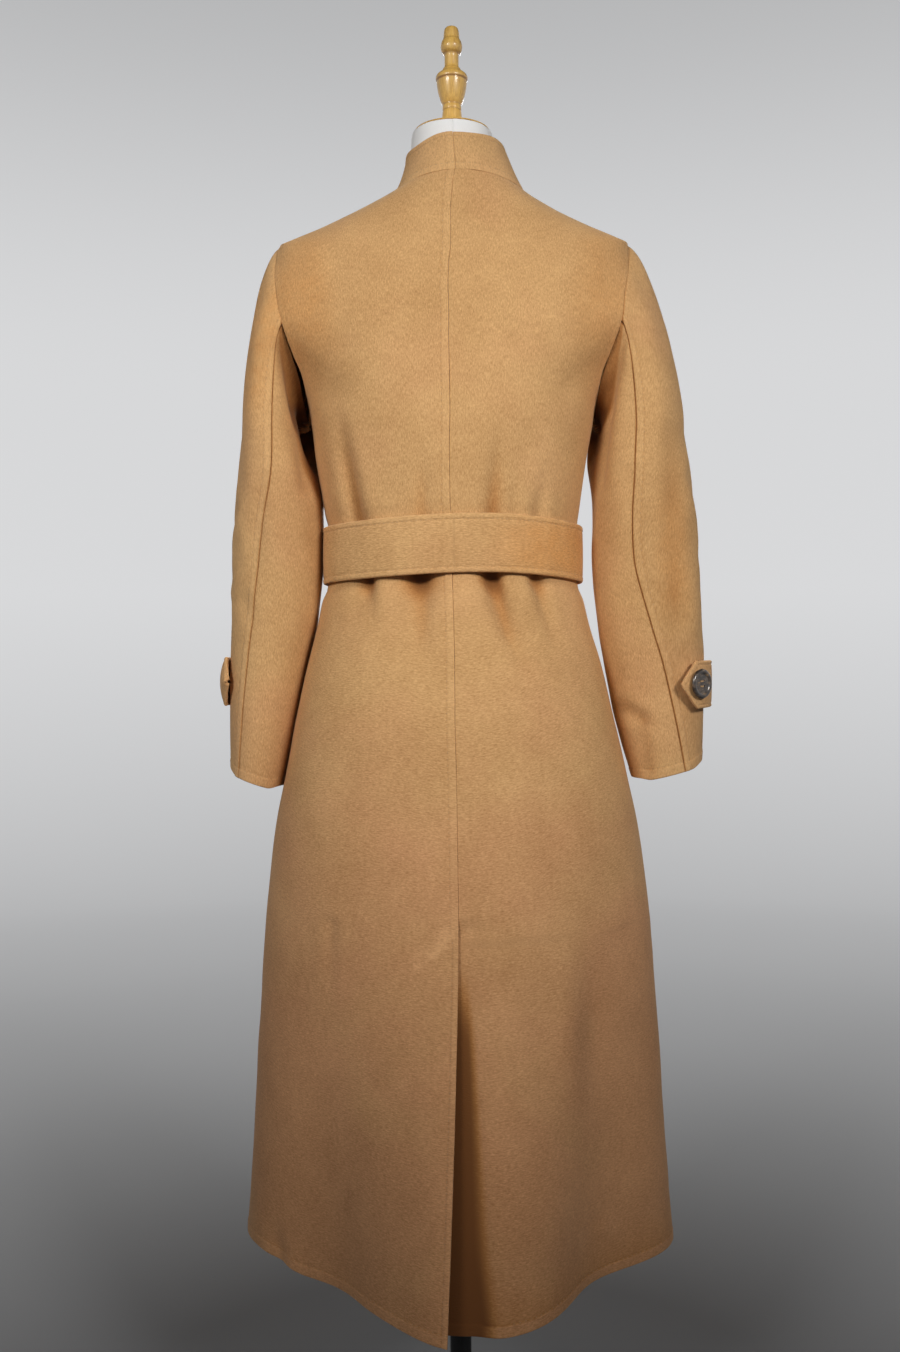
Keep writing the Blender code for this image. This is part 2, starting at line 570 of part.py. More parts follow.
class Sleeve:
    """One sleeve: a cap from the armhole to the bicep, then a tube to the cuff."""

    def __init__(self, side, rows):
        self.side = side
        self.table = np.array(rows, dtype=float)
        self.heights = self.table[:, 0]

    def tube(self, number, angle, grow=0.0):
        """Points at fractional row numbers and angles in degrees from the outer side to the back."""
        row = SleeveRow(*np.moveaxis(along(self.table, number), -1, 0))
        cosine = np.cos(np.radians(angle))
        sine = np.sin(np.radians(angle))
        x = (row.outer + row.inner) / 2 + ((row.outer - row.inner) / 2 + grow) * cosine
        y = row.middle_y + (row.half_depth + grow) * sine
        return np.stack([self.side * x, y, row.height + row.tilt / 2 * cosine], axis=-1)

    def tube_angle(self, number, turn):
        """Angles round the tube for turns of 0 shoulder, 1/4 back seam, 1/2 underarm, 3/4 front seam."""
        seam = along(self.table, number)[..., -1]
        quarter = turn % 1.0 * 4
        knots = (0 * seam, seam, 0 * seam + 180, 0 * seam + 360 - FRONT_SEAM, 0 * seam + 360)
        low = np.clip(np.floor(quarter).astype(int), 0, 3)
        start = np.choose(low, knots[:-1])
        end = np.choose(low, knots[1:])
        return start + (end - start) * (quarter - low)

    def armhole(self, turn):
        """Points of the armhole: down the back from the shoulder, then up the front."""
        turn = turn % 1.0
        span = ROW["shoulder"] - ROW["underarm"]
        at = ROW["underarm"] + np.abs(1 - 2 * turn) * span
        edges = []
        for front in (False, True):
            body = Body(self.side, front)
            edges.append(body.point(at, body.edge_angle(body.rows(at))))
        return np.where((turn <= 0.5)[..., None], edges[0], edges[1])

    def surface(self, at, turn):
        """Points by row, 0 at the armhole and 1 at the bicep, and by turn round the sleeve."""
        number = np.clip(at - 1, 0, None)
        tube = self.tube(number, self.tube_angle(number, turn))
        start = self.armhole(turn)
        top = ((1 + np.cos(2 * math.pi * turn)) / 2) ** 2
        leave = np.stack([self.side * (CAP_OUT + CAP_OUT_AT_TOP * top), CAP_BACK * np.sin(2 * math.pi * turn),
                          -(CAP_DOWN + CAP_DOWN_AT_TOP * top)], axis=-1)
        start = start + leave * SLEEVE_SEAM
        end = self.tube(np.zeros_like(at), self.tube_angle(np.zeros_like(at), turn))
        length = np.linalg.norm(end - start, axis=-1, keepdims=True)
        share = np.clip(at, -DERIVATIVE_STEP, 1)[..., None]
        rest = 1 - share
        cap = ((1 + 2 * share) * rest ** 2 * start + share * rest ** 2 * leave * length * CAP_START
               + share ** 2 * (3 - 2 * share) * end
               + share ** 2 * rest * length * CAP_END * np.array([0.0, 0.0, 1.0]))
        return np.where((at < 1)[..., None], cap, tube)

    def row_at_height(self, height):
        """The tube's row number at heights below the bicep."""
        return np.interp(-height, -self.heights, np.arange(len(self.heights)))


def add_sleeve(name, sleeve):
    """The top and under pieces of one sleeve."""
    rows = np.concatenate([CAP_ROWS, np.arange(2, len(sleeve.heights) + 1)])
    turns = np.linspace(-0.25 + SLEEVE_TRIM, 0.25 - SLEEVE_TRIM, SLEEVE_COLUMNS + 1)
    add_panel(f"sleeve_top_{name}", sleeve.surface, rows, turns, sleeve.side)
    turns = np.linspace(0.25 + SLEEVE_TRIM, 0.75 - SLEEVE_TRIM, SLEEVE_COLUMNS + 1)
    add_panel(f"sleeve_under_{name}", sleeve.surface, rows, turns, sleeve.side)


def add_tab(name, sleeve, tab):
    """A pointed tab round the cuff's outer side, bowed off the sleeve, and its button."""

    def surface(across, share):
        """Points by place across the tab, -1 to 1, and by share of its length from the root."""
        half = TAB_WIDTH / 2 * np.clip((TAB_NOSE - share) / TAB_POINT, 0, 1)
        number = sleeve.row_at_height(tab.height + across * half)
        stand = TAB_REST + TAB_BULGE * np.sin(math.pi * np.clip(share, 0, 1)) + DOUBLE_CLOTH
        return sleeve.tube(number, tab.root + (tab.tip - tab.root) * share, stand)

    add_panel(f"cuff_tab_{name}", surface, TAB_ROWS, TAB_COLUMNS, -sleeve.side, thickness=DOUBLE_CLOTH)
    share = np.array([(tab.button - tab.root) / (tab.tip - tab.root)])
    middle = np.zeros(1)
    spot = surface(middle, share)[0]
    normal = normals(surface, middle, share, -sleeve.side)[0]
    button = add_turned(f"cuff_button_{name}", BUTTON, BUTTON_SEGMENTS, HORN)
    button.rotation_euler = Vector(normal).to_track_quat("Z", "Y").to_euler()
    button.location = spot + normal * BUTTON_SEAT


def add_turned(name, profile, segments, finish):
    """A turned piece: a profile, from the top down its outer side, screwed round the Z axis."""
    mesh = bpy.data.meshes.new(name)
    points = [(turn.radius, 0.0, turn.height) for turn in profile]
    mesh.from_pydata(points, [(i, i + 1) for i in range(len(points) - 1)], [])
    mesh.materials.append(finish_material(name, finish))
    piece = bpy.data.objects.new(name, mesh)
    bpy.context.scene.collection.objects.link(piece)
    screw = piece.modifiers.new("turn", "SCREW")
    screw.steps = segments
    screw.render_steps = segments
    screw.use_merge_vertices = True
    screw.merge_threshold = 0.00001
    screw.use_smooth_shade = True
    return piece


def add_belt():
    """The belt's band round the waist, its knot and its two hanging ends."""
    waist = BODY[ROW["waist"]]
    sweep = np.linspace(0, 2 * math.pi, BELT_SEGMENTS, endpoint=False)
    grow = BELT_CLEAR + DOUBLE_CLOTH
    power = 2 / waist.power
    depth = np.where(np.cos(sweep) > 0, waist.back_depth, waist.front_depth) + grow
    x = waist.shift + (waist.half_width + grow) * signed_power(np.sin(sweep), power)
    y = depth * signed_power(np.cos(sweep), power)
    ring = np.stack([x, y, np.zeros_like(x)], axis=-1)
    out = np.stack([np.sin(sweep) / (waist.half_width + grow), np.cos(sweep) / depth, np.zeros_like(x)],
                   axis=-1)
    out = out / np.linalg.norm(out, axis=-1, keepdims=True)
    levels = np.linspace(BELT_LOW, BELT_HIGH, 3)
    band = ring[None] + levels[:, None, None] * np.array([0.0, 0.0, 1.0])
    add_wall("belt", band, np.repeat(out[None], len(levels), 0), DOUBLE_CLOTH, WOOL, closed=True)

    lying = TAIL_CLEAR + DOUBLE_CLOTH
    front = -(waist.front_depth + grow + lying + SEAM_GAP)
    width, deep, tall = KNOT_SIZE
    rings = []
    for level in np.linspace(-1, 1, KNOT_RINGS):
        size = (KNOT_POLE - abs(level) ** KNOT_ROUNDNESS) ** (1 / KNOT_ROUNDNESS)
        round_x = signed_power(np.cos(KNOT_SWEEP), KNOT_SQUARENESS) * width / 2 * size
        round_y = signed_power(np.sin(KNOT_SWEEP), KNOT_SQUARENESS) * deep / 2 * size
        middle = (BELT_LOW + BELT_HIGH) / 2 + level * tall / 2
        rings.append(np.stack([waist.shift + round_x, front - deep / 2 + round_y,
                               np.full_like(round_x, middle)], axis=-1))
    add_rings("belt_knot", np.array(rings), WOOL)

    right = Body(-1, True)
    for name, way in (("belt_tail_left", 1), ("belt_tail_right", -1)):

        def hanging(level, share, way=way):
            """Points on the fronts by share of the end's length and width."""
            height = TAIL_TOP - TAIL_LENGTH * level
            gathered = ramp(height, BELT_HIGH, BELT_LOW - TAIL_SPREAD)
            wide = TAIL_WIDTH * (TAIL_PINCH + (1 - TAIL_PINCH) * gathered)
            middle = way * (wide / 2 + SEAM_GAP + TAIL_LEAN * level)
            at = row_at_height(height)
            row = right.rows(at)
            return right.point(at, np.arcsin(-(middle + wide * share) / row.half_width))

        level, share = np.meshgrid(TAIL_ROWS, TAIL_COLUMNS, indexing="ij")
        normal = normals(hanging, level, share, 1)
        over_belt = ramp(TAIL_TOP - TAIL_LENGTH * level, BELT_LOW - TAIL_STEP, BELT_LOW - SEAM_GAP)
        away = lying + grow * over_belt
        add_wall(name, hanging(level, share) + normal * away[..., None], normal, DOUBLE_CLOTH, WOOL)


def add_rings(name, rings, finish):
    """A closed solid through a stack of rings, with flat ends."""
    count, segments = rings.shape[:2]
    faces = grid_faces(count, segments, 0, True)
    faces.append(tuple(range(segments)))
    faces.append(tuple(range((count - 1) * segments, count * segments)))
    return add_object(name, rings.reshape(-1, 3), faces, finish)


def add_torso():
    """The form's body and neck.  Its shoulders lie just under the coat's."""
    shoulders = [TorsoRow(row.back_z - TORSO_SHOULDER_DROP, row.side_z - SHOULDER_SEAT,
                          row.front_z - TORSO_SHOULDER_DROP, row.half_width, row.shift,
                          row.back_depth - TORSO_BACK_INSET, row.front_depth - TORSO_FRONT_INSET,
                          row.power) for row in BODY[ROW["slope_1"]:ROW["neck"]]]
    table = np.array(TORSO_LOW + shoulders + TORSO_NECK, dtype=float)
    row = TorsoRow(*[column[:, None] for column in table.T])
    sweep = np.linspace(0, 2 * math.pi, TORSO_SEGMENTS, endpoint=False)[None]
    back = np.cos(sweep) > 0
    depth = np.where(back, row.back_depth, row.front_depth)
    middle = np.where(back, row.back_z, row.front_z)
    x = row.shift + row.half_width * signed_power(np.sin(sweep), 2 / row.power)
    y = depth * signed_power(np.cos(sweep), 2 / row.power)
    z = row.side_z + (middle - row.side_z) * np.cos(sweep) ** 2
    add_rings("form_torso", np.stack([x, y, z], axis=-1), COVER)


def add_stand():
    """The turned neck cap and finial, the pole and the round base."""
    add_turned("form_neck_cap", NECK_CAP, CAP_SEGMENTS, WOOD)
    add_turned("form_finial", FINIAL, TURN_SEGMENTS, WOOD)
    pole_top = TORSO_LOW[0].side_z - SEAM_GAP
    pole = [Turn(0.0, pole_top), Turn(POLE_RADIUS, pole_top),
            Turn(POLE_RADIUS, POLE_FOOT), Turn(0.0, POLE_FOOT)]
    add_turned("stand_pole", pole, TURN_SEGMENTS, BLACK_METAL)
    add_turned("stand_base", BASE, BASE_SEGMENTS, BLACK_METAL)


def main():
    """Build the coat and the form that carries it."""
    clear_scene()
    add_backs()
    add_fronts()
    add_collar()
    for name, side, rows, tab in (("left", 1, SLEEVE_LEFT, TAB_LEFT), ("right", -1, SLEEVE_RIGHT, TAB_RIGHT)):
        sleeve = Sleeve(side, rows)
        add_sleeve(name, sleeve)
        add_tab(name, sleeve, tab)
    add_belt()
    add_torso()
    add_stand()


main()
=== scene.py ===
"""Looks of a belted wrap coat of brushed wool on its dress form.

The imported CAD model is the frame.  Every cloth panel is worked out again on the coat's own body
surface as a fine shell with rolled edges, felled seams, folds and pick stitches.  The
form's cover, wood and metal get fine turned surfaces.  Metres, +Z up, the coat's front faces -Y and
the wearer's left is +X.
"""
# Light and shade are painted into colour here: the cloth's tone is darkened as painted shade in its folds and
# gathers, under the arms, beside the vent's flap and towards the hem, the lower coat is painted darker and
# redder, the shoulders get a painted warm tint, and the backdrop glows with painted light.
import logging
import math
from dataclasses import dataclass, field
from enum import Enum
from typing import Any, Callable, NamedTuple, Sequence

import bpy
import numpy as np
from mathutils import Matrix, Vector


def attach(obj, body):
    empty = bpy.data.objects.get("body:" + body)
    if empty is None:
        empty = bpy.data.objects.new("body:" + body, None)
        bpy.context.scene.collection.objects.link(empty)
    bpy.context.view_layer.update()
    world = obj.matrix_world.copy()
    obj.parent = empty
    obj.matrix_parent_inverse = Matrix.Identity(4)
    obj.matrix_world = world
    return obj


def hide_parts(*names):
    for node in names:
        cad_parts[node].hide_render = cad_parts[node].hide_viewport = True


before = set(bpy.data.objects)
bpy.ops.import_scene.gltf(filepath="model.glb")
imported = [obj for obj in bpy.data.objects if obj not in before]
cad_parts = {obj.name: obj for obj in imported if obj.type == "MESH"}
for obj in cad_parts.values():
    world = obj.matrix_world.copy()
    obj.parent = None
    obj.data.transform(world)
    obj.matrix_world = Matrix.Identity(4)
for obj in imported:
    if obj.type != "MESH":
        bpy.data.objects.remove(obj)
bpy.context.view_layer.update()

Array = np.ndarray
Colour = tuple[float, float, float]
Surface = Callable[[Array, Array], Array]
Piece = bpy.types.Object
Material = bpy.types.Material

LOG = logging.getLogger("wrap_coat")
ROOT = "root"
SIDES = (("left", 1), ("right", -1))
UP = np.array([0.0, 0.0, 1.0])

# Distances from an edge at which every panel has a column or a row, so sewing beside it is crisp
EDGE_STEPS = np.array([0.0, 0.0004, 0.0010, 0.0020, 0.0032, 0.0044, 0.0056, 0.0064, 0.0074, 0.0086,
                       0.0095, 0.0105, 0.0115, 0.0130, 0.0170])


class Level(NamedTuple):
    """One level of the coat's body: heights, half width, shift, edges, depths, power and lap."""

    back_z: float
    side_z: float
    front_z: float
    half_width: float
    shift: float
    back_edge: float
    back_depth: float
    front_edge: float
    front_depth: float
    power: float
    lap: float


class Gather(NamedTuple):
    """A fold that the belt presses in: angle from the centre back, spread, and its foot and head."""

    angle: float
    spread: float
    depth_below: float
    reach_below: float
    lean_below: float
    depth_above: float
    reach_above: float
    lean_above: float


class Valley(NamedTuple):
    """A deep soft valley of the skirt: angle from the centre back, half span and depth at the hem."""

    angle: float
    half_span: float
    depth: float


class SleeveLevel(NamedTuple):
    """One level of a sleeve's tube from bicep to cuff."""

    height: float
    outer: float
    inner: float
    middle_y: float
    half_depth: float
    tilt: float
    seam: float


class TorsoLevel(NamedTuple):
    """One level of the dress form's torso."""

    back_z: float
    side_z: float
    front_z: float
    half_width: float
    shift: float
    back_depth: float
    front_depth: float
    power: float


BODY: dict[str, Level] = {name: Level(*row) for name, row in {
    "hem": (0.260, 0.260, 0.260, 0.2430, 0.0000, 0, 0.2350, 0, 0.2320, 2.00, -27),
    "calf": (0.380, 0.380, 0.380, 0.2345, 0.0000, 0, 0.2140, 0, 0.2110, 2.00, -28),
    "knee": (0.510, 0.510, 0.510, 0.2265, 0.0000, 0, 0.1930, 0, 0.1900, 2.00, -29),
    "thigh": (0.645, 0.645, 0.645, 0.2165, 0.0000, 0, 0.1700, 0, 0.1670, 2.00, -31),
    "low_hip": (0.735, 0.735, 0.735, 0.2045, 0.0005, 0, 0.1550, 0, 0.1500, 2.00, -33),
    "hip": (0.790, 0.790, 0.790, 0.1930, 0.0010, 0, 0.1470, 0, 0.1400, 2.00, -35),
    "high_hip": (0.857, 0.857, 0.857, 0.1790, 0.0020, 0, 0.1370, 0, 0.1290, 2.05, -38),
    "flare": (0.914, 0.914, 0.914, 0.1660, 0.0020, 0, 0.1270, 0, 0.1190, 2.05, -41),
    "gather": (0.956, 0.956, 0.956, 0.1545, 0.0025, 0, 0.1190, 0, 0.1120, 2.05, -43),
    "bulge": (0.985, 0.985, 0.985, 0.1478, 0.0028, 0, 0.1145, 0, 0.1080, 2.05, -44),
    "belt_low": (1.003, 1.003, 1.003, 0.1414, 0.0028, 0, 0.1095, 0, 0.1045, 2.05, -44),
    "waist": (1.036, 1.036, 1.036, 0.1414, 0.0028, 0, 0.1095, 0, 0.1045, 2.05, -43),
    "belt_high": (1.069, 1.069, 1.069, 0.1414, 0.0028, 0, 0.1095, 0, 0.1045, 2.05, -41),
    "blouse": (1.084, 1.084, 1.084, 0.1438, 0.0035, 0, 0.1115, 0, 0.1080, 2.10, -38),
    "rib": (1.140, 1.140, 1.140, 0.1525, 0.0037, 0, 0.1150, 0, 0.1170, 2.15, -15),
    "underarm": (1.185, 1.185, 1.185, 0.1590, 0.0025, 0, 0.1170, 0, 0.1240, 2.20, -2),
    "arm_1": (1.222, 1.222, 1.222, 0.1640, 0.0025, 0.030, 0.1165, 0.030, 0.1210, 2.25, 8),
    "arm_2": (1.254, 1.254, 1.254, 0.1735, 0.0025, 0.050, 0.1140, 0.048, 0.1160, 2.30, 15),
    "arm_3": (1.287, 1.287, 1.287, 0.1855, 0.0020, 0.061, 0.1100, 0.055, 0.1090, 2.30, 22),
    "arm_4": (1.318, 1.321, 1.318, 0.1915, 0.0030, 0.054, 0.1045, 0.050, 0.1010, 2.25, 27),
    "arm_5": (1.342, 1.355, 1.338, 0.1965, 0.0020, 0.034, 0.0990, 0.033, 0.0940, 2.15, 31),
    "shoulder": (1.363, 1.388, 1.356, 0.1977, -0.0010, 0, 0.0930, 0, 0.0870, 2.05, 35.5),
    "slope_1": (1.387, 1.4035, 1.376, 0.1600, -0.0020, 0, 0.0865, 0, 0.0810, 2.00, 42.5),
    "slope_2": (1.4125, 1.4215, 1.396, 0.1200, -0.0030, 0, 0.0795, 0, 0.0745, 2.00, 51.5),
    "slope_3": (1.435, 1.4355, 1.412, 0.0920, -0.0050, 0, 0.0725, 0, 0.0680, 2.00, 59),
    "neck": (1.453, 1.4440, 1.425, 0.0755, -0.0075, 0, 0.0660, 0, 0.0640, 2.00, 64),
}.items()}
BODY_TABLE = np.array(list(BODY.values()), dtype=float)
ROW = {name: number for number, name in enumerate(BODY)}
COLLAR_EDGE = Level(1.5005, 1.499, 1.496, 0.0555, -0.0030, 0, 0.0505, 0, 0.0530, 2.00, 70)

GATHERS = tuple(Gather(*row) for row in (
    (43.0, 5.5, 0.008, 0.060, -1.0, 0.0036, 0.13, 8.0),
    (15.0, 9.0, 0.012, 0.100, 1.0, 0.0030, 0.11, 0.0),
    (-16.3, 6.0, 0.012, 0.120, -11.0, 0.0040, 0.11, -2.0),
    (-39.5, 5.5, 0.007, 0.090, -3.0, 0.0035, 0.07, -2.0),
    (112.0, 8.0, 0.008, 0.090, 2.0, 0.0040, 0.09, -2.0),
    (-118.0, 8.0, 0.009, 0.100, -2.0, 0.0040, 0.08, 2.0),
))
VALLEYS = tuple(Valley(*row) for row in (
    (46.0, 48.0, 0.060),
    (-50.0, 43.0, 0.060),
    (135.0, 45.0, 0.045),
    (-135.0, 45.0, 0.045),
))

SLEEVE_LEFT = tuple(SleeveLevel(*row) for row in (
    (1.1715, 0.2395, 0.1730, 0.004, 0.070, 0.000, 103),
    (1.1076, 0.2468, 0.1526, 0.004, 0.066, 0.000, 86),
    (1.0620, 0.2516, 0.1502, 0.003, 0.062, 0.000, 77),
    (1.0243, 0.2532, 0.1508, 0.002, 0.058, 0.000, 73),
    (0.9707, 0.2550, 0.1565, 0.000, 0.055, 0.000, 69),
    (0.9011, 0.2568, 0.1726, -0.003, 0.054, 0.006, 65),
    (0.8316, 0.2580, 0.1876, -0.006, 0.054, 0.014, 62),
    (0.7825, 0.2577, 0.1985, -0.008, 0.053, 0.022, 60),
))
SLEEVE_RIGHT = tuple(SleeveLevel(*row) for row in (
    (1.1715, 0.2598, 0.1632, 0.004, 0.066, 0.000, 106),
    (1.1304, 0.2662, 0.1590, 0.004, 0.064, 0.000, 107),
    (1.0745, 0.2735, 0.1574, 0.003, 0.059, 0.000, 111),
    (1.0300, 0.2765, 0.1560, 0.002, 0.053, 0.000, 109),
    (0.9559, 0.2803, 0.1626, 0.000, 0.050, 0.002, 96),
    (0.9137, 0.2822, 0.1700, -0.002, 0.049, 0.005, 88),
    (0.8635, 0.2819, 0.1800, -0.004, 0.048, 0.009, 80),
    (0.7880, 0.2798, 0.2010, -0.006, 0.047, 0.020, 70),
))

TORSO_LOW = tuple(TorsoLevel(*row) for row in (
    (0.800, 0.800, 0.800, 0.1520, 0, 0.1080, 0.0920, 2.2),
    (0.806, 0.806, 0.806, 0.1570, 0, 0.1120, 0.0960, 2.2),
    (0.850, 0.850, 0.850, 0.1610, 0, 0.1160, 0.0980, 2.2),
    (0.900, 0.900, 0.900, 0.1540, 0, 0.1080, 0.0940, 2.2),
    (0.956, 0.956, 0.956, 0.1370, 0, 0.0950, 0.0880, 2.2),
    (1.036, 1.036, 1.036, 0.1190, 0, 0.0850, 0.0820, 2.2),
    (1.100, 1.100, 1.100, 0.1240, 0, 0.0890, 0.0920, 2.2),
    (1.185, 1.185, 1.185, 0.1360, 0, 0.0960, 0.1080, 2.3),
    (1.250, 1.250, 1.250, 0.1430, 0, 0.0960, 0.1040, 2.3),
    (1.300, 1.304, 1.298, 0.1510, 0, 0.0900, 0.0940, 2.3),
    (1.334, 1.350, 1.328, 0.1660, 0, 0.0840, 0.0830, 2.2),
    (1.352, 1.378, 1.344, 0.1720, -0.001, 0.0800, 0.0760, 2.1),
))
TORSO_NECK = tuple(TorsoLevel(*row) for row in (
    (1.447, 1.4430, 1.432, 0.0590, -0.003, 0.0505, 0.0490, 2.0),
    (1.462, 1.4590, 1.454, 0.0515, -0.001, 0.0470, 0.0465, 2.0),
    (1.485, 1.4850, 1.484, 0.0478, 0, 0.0455, 0.0455, 2.0),
    (1.510, 1.5100, 1.510, 0.0468, 0, 0.0452, 0.0452, 2.0),
    (1.5163, 1.5163, 1.5163, 0.0456, 0, 0.0444, 0.0444, 2.0),
    (1.5180, 1.5180, 1.5180, 0.0438, 0, 0.0428, 0.0428, 2.0),
))


@dataclass(frozen=True)
class Sewing:
    """Thicknesses, seams and stitches that the whole coat shares, in metres."""

    cloth: float = 0.0025
    double: float = 0.0042
    gap: float = 0.00015
    felled: float = 0.0086
    hem: float = 0.0115
    edge: float = 0.0064
    rise: float = 0.0005
    groove: float = 0.0003
    pitch: float = 0.0052
    hem_pitch: float = 0.0066
    felled_pitch: float = 0.0068
    pucker: float = 0.00022
    pucker_reach: float = 0.004
    pucker_turns: float = 540.0


@dataclass(frozen=True)
class Waist:
    """The belt's band on the body, which the gathers start from."""

    low: float = 1.0045
    width: float = 0.063
    clear: float = 0.0009
    widen: float = 0.5

    @property
    def high(self) -> float:
        """The height of the band's upper edge."""
        return self.low + self.width


@dataclass(frozen=True)
class Vent:
    """The centre-back vent, where the left half laps over the right one."""

    top: float = 0.635
    hem: float = 0.260
    past_hem: float = 1.05
    lift: float = 0.020
    lift_power: float = 1.2
    lift_spread: float = math.radians(12.0)
    swing: float = 0.0134
    swing_power: float = 1.3
    underlap: float = 0.045
    inset: float = 0.0036
    inset_at_hem: float = 0.0080
    inset_full: float = math.radians(2.0)
    inset_none: float = math.radians(10.0)
    ramp: float = 0.012
    ease: float = 0.018
    start: float = 0.004

    def share(self, height: Array) -> Array:
        """0 at the vent's top and above, 1 at the hem."""
        return np.clip((self.top - height) / (self.top - self.hem), 0, self.past_hem)


@dataclass(frozen=True)
class Wrap:
    """How the left front lies under the right one as far as they cross."""

    inset: float = 0.0041
    full: float = math.radians(45.0)
    none: float = math.radians(75.0)
    crossed: float = 2.0
    apart: float = 22.0


SEW = Sewing()
WAIST = Waist()
SHADOW_HEIGHTS = (1.04, 1.09, 1.116, 1.160, 1.199, 1.226, 1.246, 1.272, 1.292)
FLARE_TOP = 0.800
VALLEY_POWER = 1.4


def ramp(value: Array, start: float, end: float) -> Array:
    """A smooth step from 0 at start to 1 at end."""
    share = np.clip((value - start) / (end - start), 0, 1)
    return share * share * (3 - 2 * share)


def bell(value: Array, width: Array | float) -> Array:
    """A bell-shaped rise: 1 where the value is 0, fading over about its width."""
    return np.exp(-(value / width) ** 2)


def full_turn(count: int) -> Array:
    """The angles of a full turn in even steps."""
    return np.linspace(0, 2 * math.pi, count, endpoint=False)


def joined(*parts: Array) -> Array:
    """Arrays brought to one shape and set side by side on a new last axis."""
    return np.stack(np.broadcast_arrays(*parts), axis=-1)


def signed_power(value: Array, power: Array) -> Array:
    """A power that keeps its value's sign."""
    return np.sign(value) * np.abs(value) ** power


def wrapped(degrees: Array) -> Array:
    """An angle difference brought to within half a turn."""
    return (degrees + 180.0) % 360.0 - 180.0


def along(table: Array, at: Array) -> Array:
    """Rows of a table joined by a monotone cubic, read at fractional row numbers.

    Each column's slope at a row is the harmonic mean of its steps before and after, or 0 where it
    turns, and the cubic between two rows takes their values and slopes.

    Args:
        table: Rows of values.
        at: Row numbers of any shape.

    Returns:
        The values, with one more axis than the row numbers.
    """
    step = np.diff(table, axis=0)
    before, after = step[:-1], step[1:]
    total = before + after
    inner = np.where(before * after > 0, 2 * before * after / np.where(total == 0, 1, total), 0)
    slope = np.vstack([step[:1], inner, step[-1:]])
    low = np.clip(np.floor(at).astype(int), 0, len(table) - 2)
    share = (np.asarray(at) - low)[..., None]
    rest = 1 - share
    return ((1 + 2 * share) * rest ** 2 * table[low] + share * rest ** 2 * slope[low]
            + share ** 2 * (3 - 2 * share) * table[low + 1] - share ** 2 * rest * slope[low + 1])


def run_length(points: Array, axis: int) -> Array:
    """Lengths along one axis of a grid of points, summed from its start."""
    steps = np.linalg.norm(np.diff(points, axis=axis), axis=-1)
    first = np.zeros_like(np.take(steps, [0], axis=axis))
    return np.concatenate([first, np.cumsum(steps, axis=axis)], axis=axis)


def step_at(distance: float) -> int:
    """The number of the column or row at one of the edge distances."""
    return int(np.argmin(np.abs(EDGE_STEPS - distance)))


def spread_columns(surface: Surface, rows: Array, start: Array | float, end: Array | float,
                   count: int) -> tuple[Array, Array]:
    """Grid points whose columns keep their real distances from a panel's two side edges.

    Each row is sampled finely from start to end and its length summed.  Columns then lie at
    EDGE_STEPS from either edge, closer on a narrow row, and evenly between.

    Args:
        surface: Points from row numbers and parameters.
        rows: Row numbers, (rows,).
        start: The parameter of the first edge on each row.
        end: The parameter of the last edge on each row.
        count: How many columns lie between the two edges' own.

    Returns:
        The row numbers and the parameters, each (rows, columns).
    """
    first, last = (np.broadcast_to(edge, rows.shape)[:, None] for edge in (start, end))
    fine = first + (last - first) * np.linspace(0, 1, 181)[None]
    length = run_length(surface(np.broadcast_to(rows[:, None], fine.shape), fine), 1)
    total = length[:, -1:]
    near = EDGE_STEPS[None] * np.minimum(1, 0.40 * total / EDGE_STEPS[-1])
    inside = near[:, -1:]
    middle = inside + (total - 2 * inside) * np.linspace(0, 1, count + 2)[None, 1:-1]
    places = np.concatenate([near, middle, total - near[:, ::-1]], axis=1)
    across = np.array([np.interp(*row) for row in zip(places, length, fine)])
    return np.broadcast_to(rows[:, None], across.shape), across


def ripple(across: Array, height: Array, length: float, seed: int) -> Array:
    """Gentle unevenness: the mean of eight plane waves of about one length, each way and phase seeded."""
    pick = np.random.default_rng(seed)
    heading = pick.uniform(0, math.pi, 8)
    number = 2 * math.pi / (length * pick.uniform(0.7, 1.6, 8))
    phase = pick.uniform(0, 2 * math.pi, 8)
    place = across[..., None] * np.cos(heading) + height[..., None] * np.sin(heading)
    return np.sin(number * place + phase).mean(-1)


def gather_depth(angle: Array, height: Array) -> Array:
    """How far the belt's gathers pull the cloth in: a bell across each, fading up and down from the belt."""
    depth = np.zeros(np.broadcast(angle, height).shape)
    for fold in GATHERS:
        above = np.clip((height - WAIST.high) / fold.reach_above, 0, 1)
        below = np.clip((WAIST.low - height) / fold.reach_below, 0, 1)
        middle = np.clip((height - WAIST.low) / WAIST.width, 0, 1)
        full = fold.depth_below * (1 - middle) + fold.depth_above * middle
        fade = np.cos(np.maximum(above, below) * math.pi / 2) ** 2
        centre = fold.angle + fold.lean_above * above + fold.lean_below * below
        spread = fold.spread * (1 + WAIST.widen * np.maximum(above, below))
        depth = depth + full * fade * bell(wrapped(angle - centre), spread)
    return depth


def valley_depth(angle: Array, height: Array) -> Array:
    """How far the skirt's valleys lie in: a squared cosine across each, growing from hips to hem."""
    low = BODY["hem"].back_z
    share = np.clip((FLARE_TOP - height) / (FLARE_TOP - low), 0, 1.05) ** VALLEY_POWER
    depth = np.zeros(np.broadcast(angle, height).shape)
    for valley in VALLEYS:
        away = np.clip(np.abs(wrapped(angle - valley.angle)) / valley.half_span, 0, 1)
        depth = depth + valley.depth * share * np.cos(away * math.pi / 2) ** 2
    return depth


def row_at_height(height: Array) -> Array:
    """The body's row number at heights below the underarm."""
    numbers = np.linspace(0, ROW["underarm"], 1500)
    return np.interp(height, along(BODY_TABLE, numbers)[:, 0], numbers)


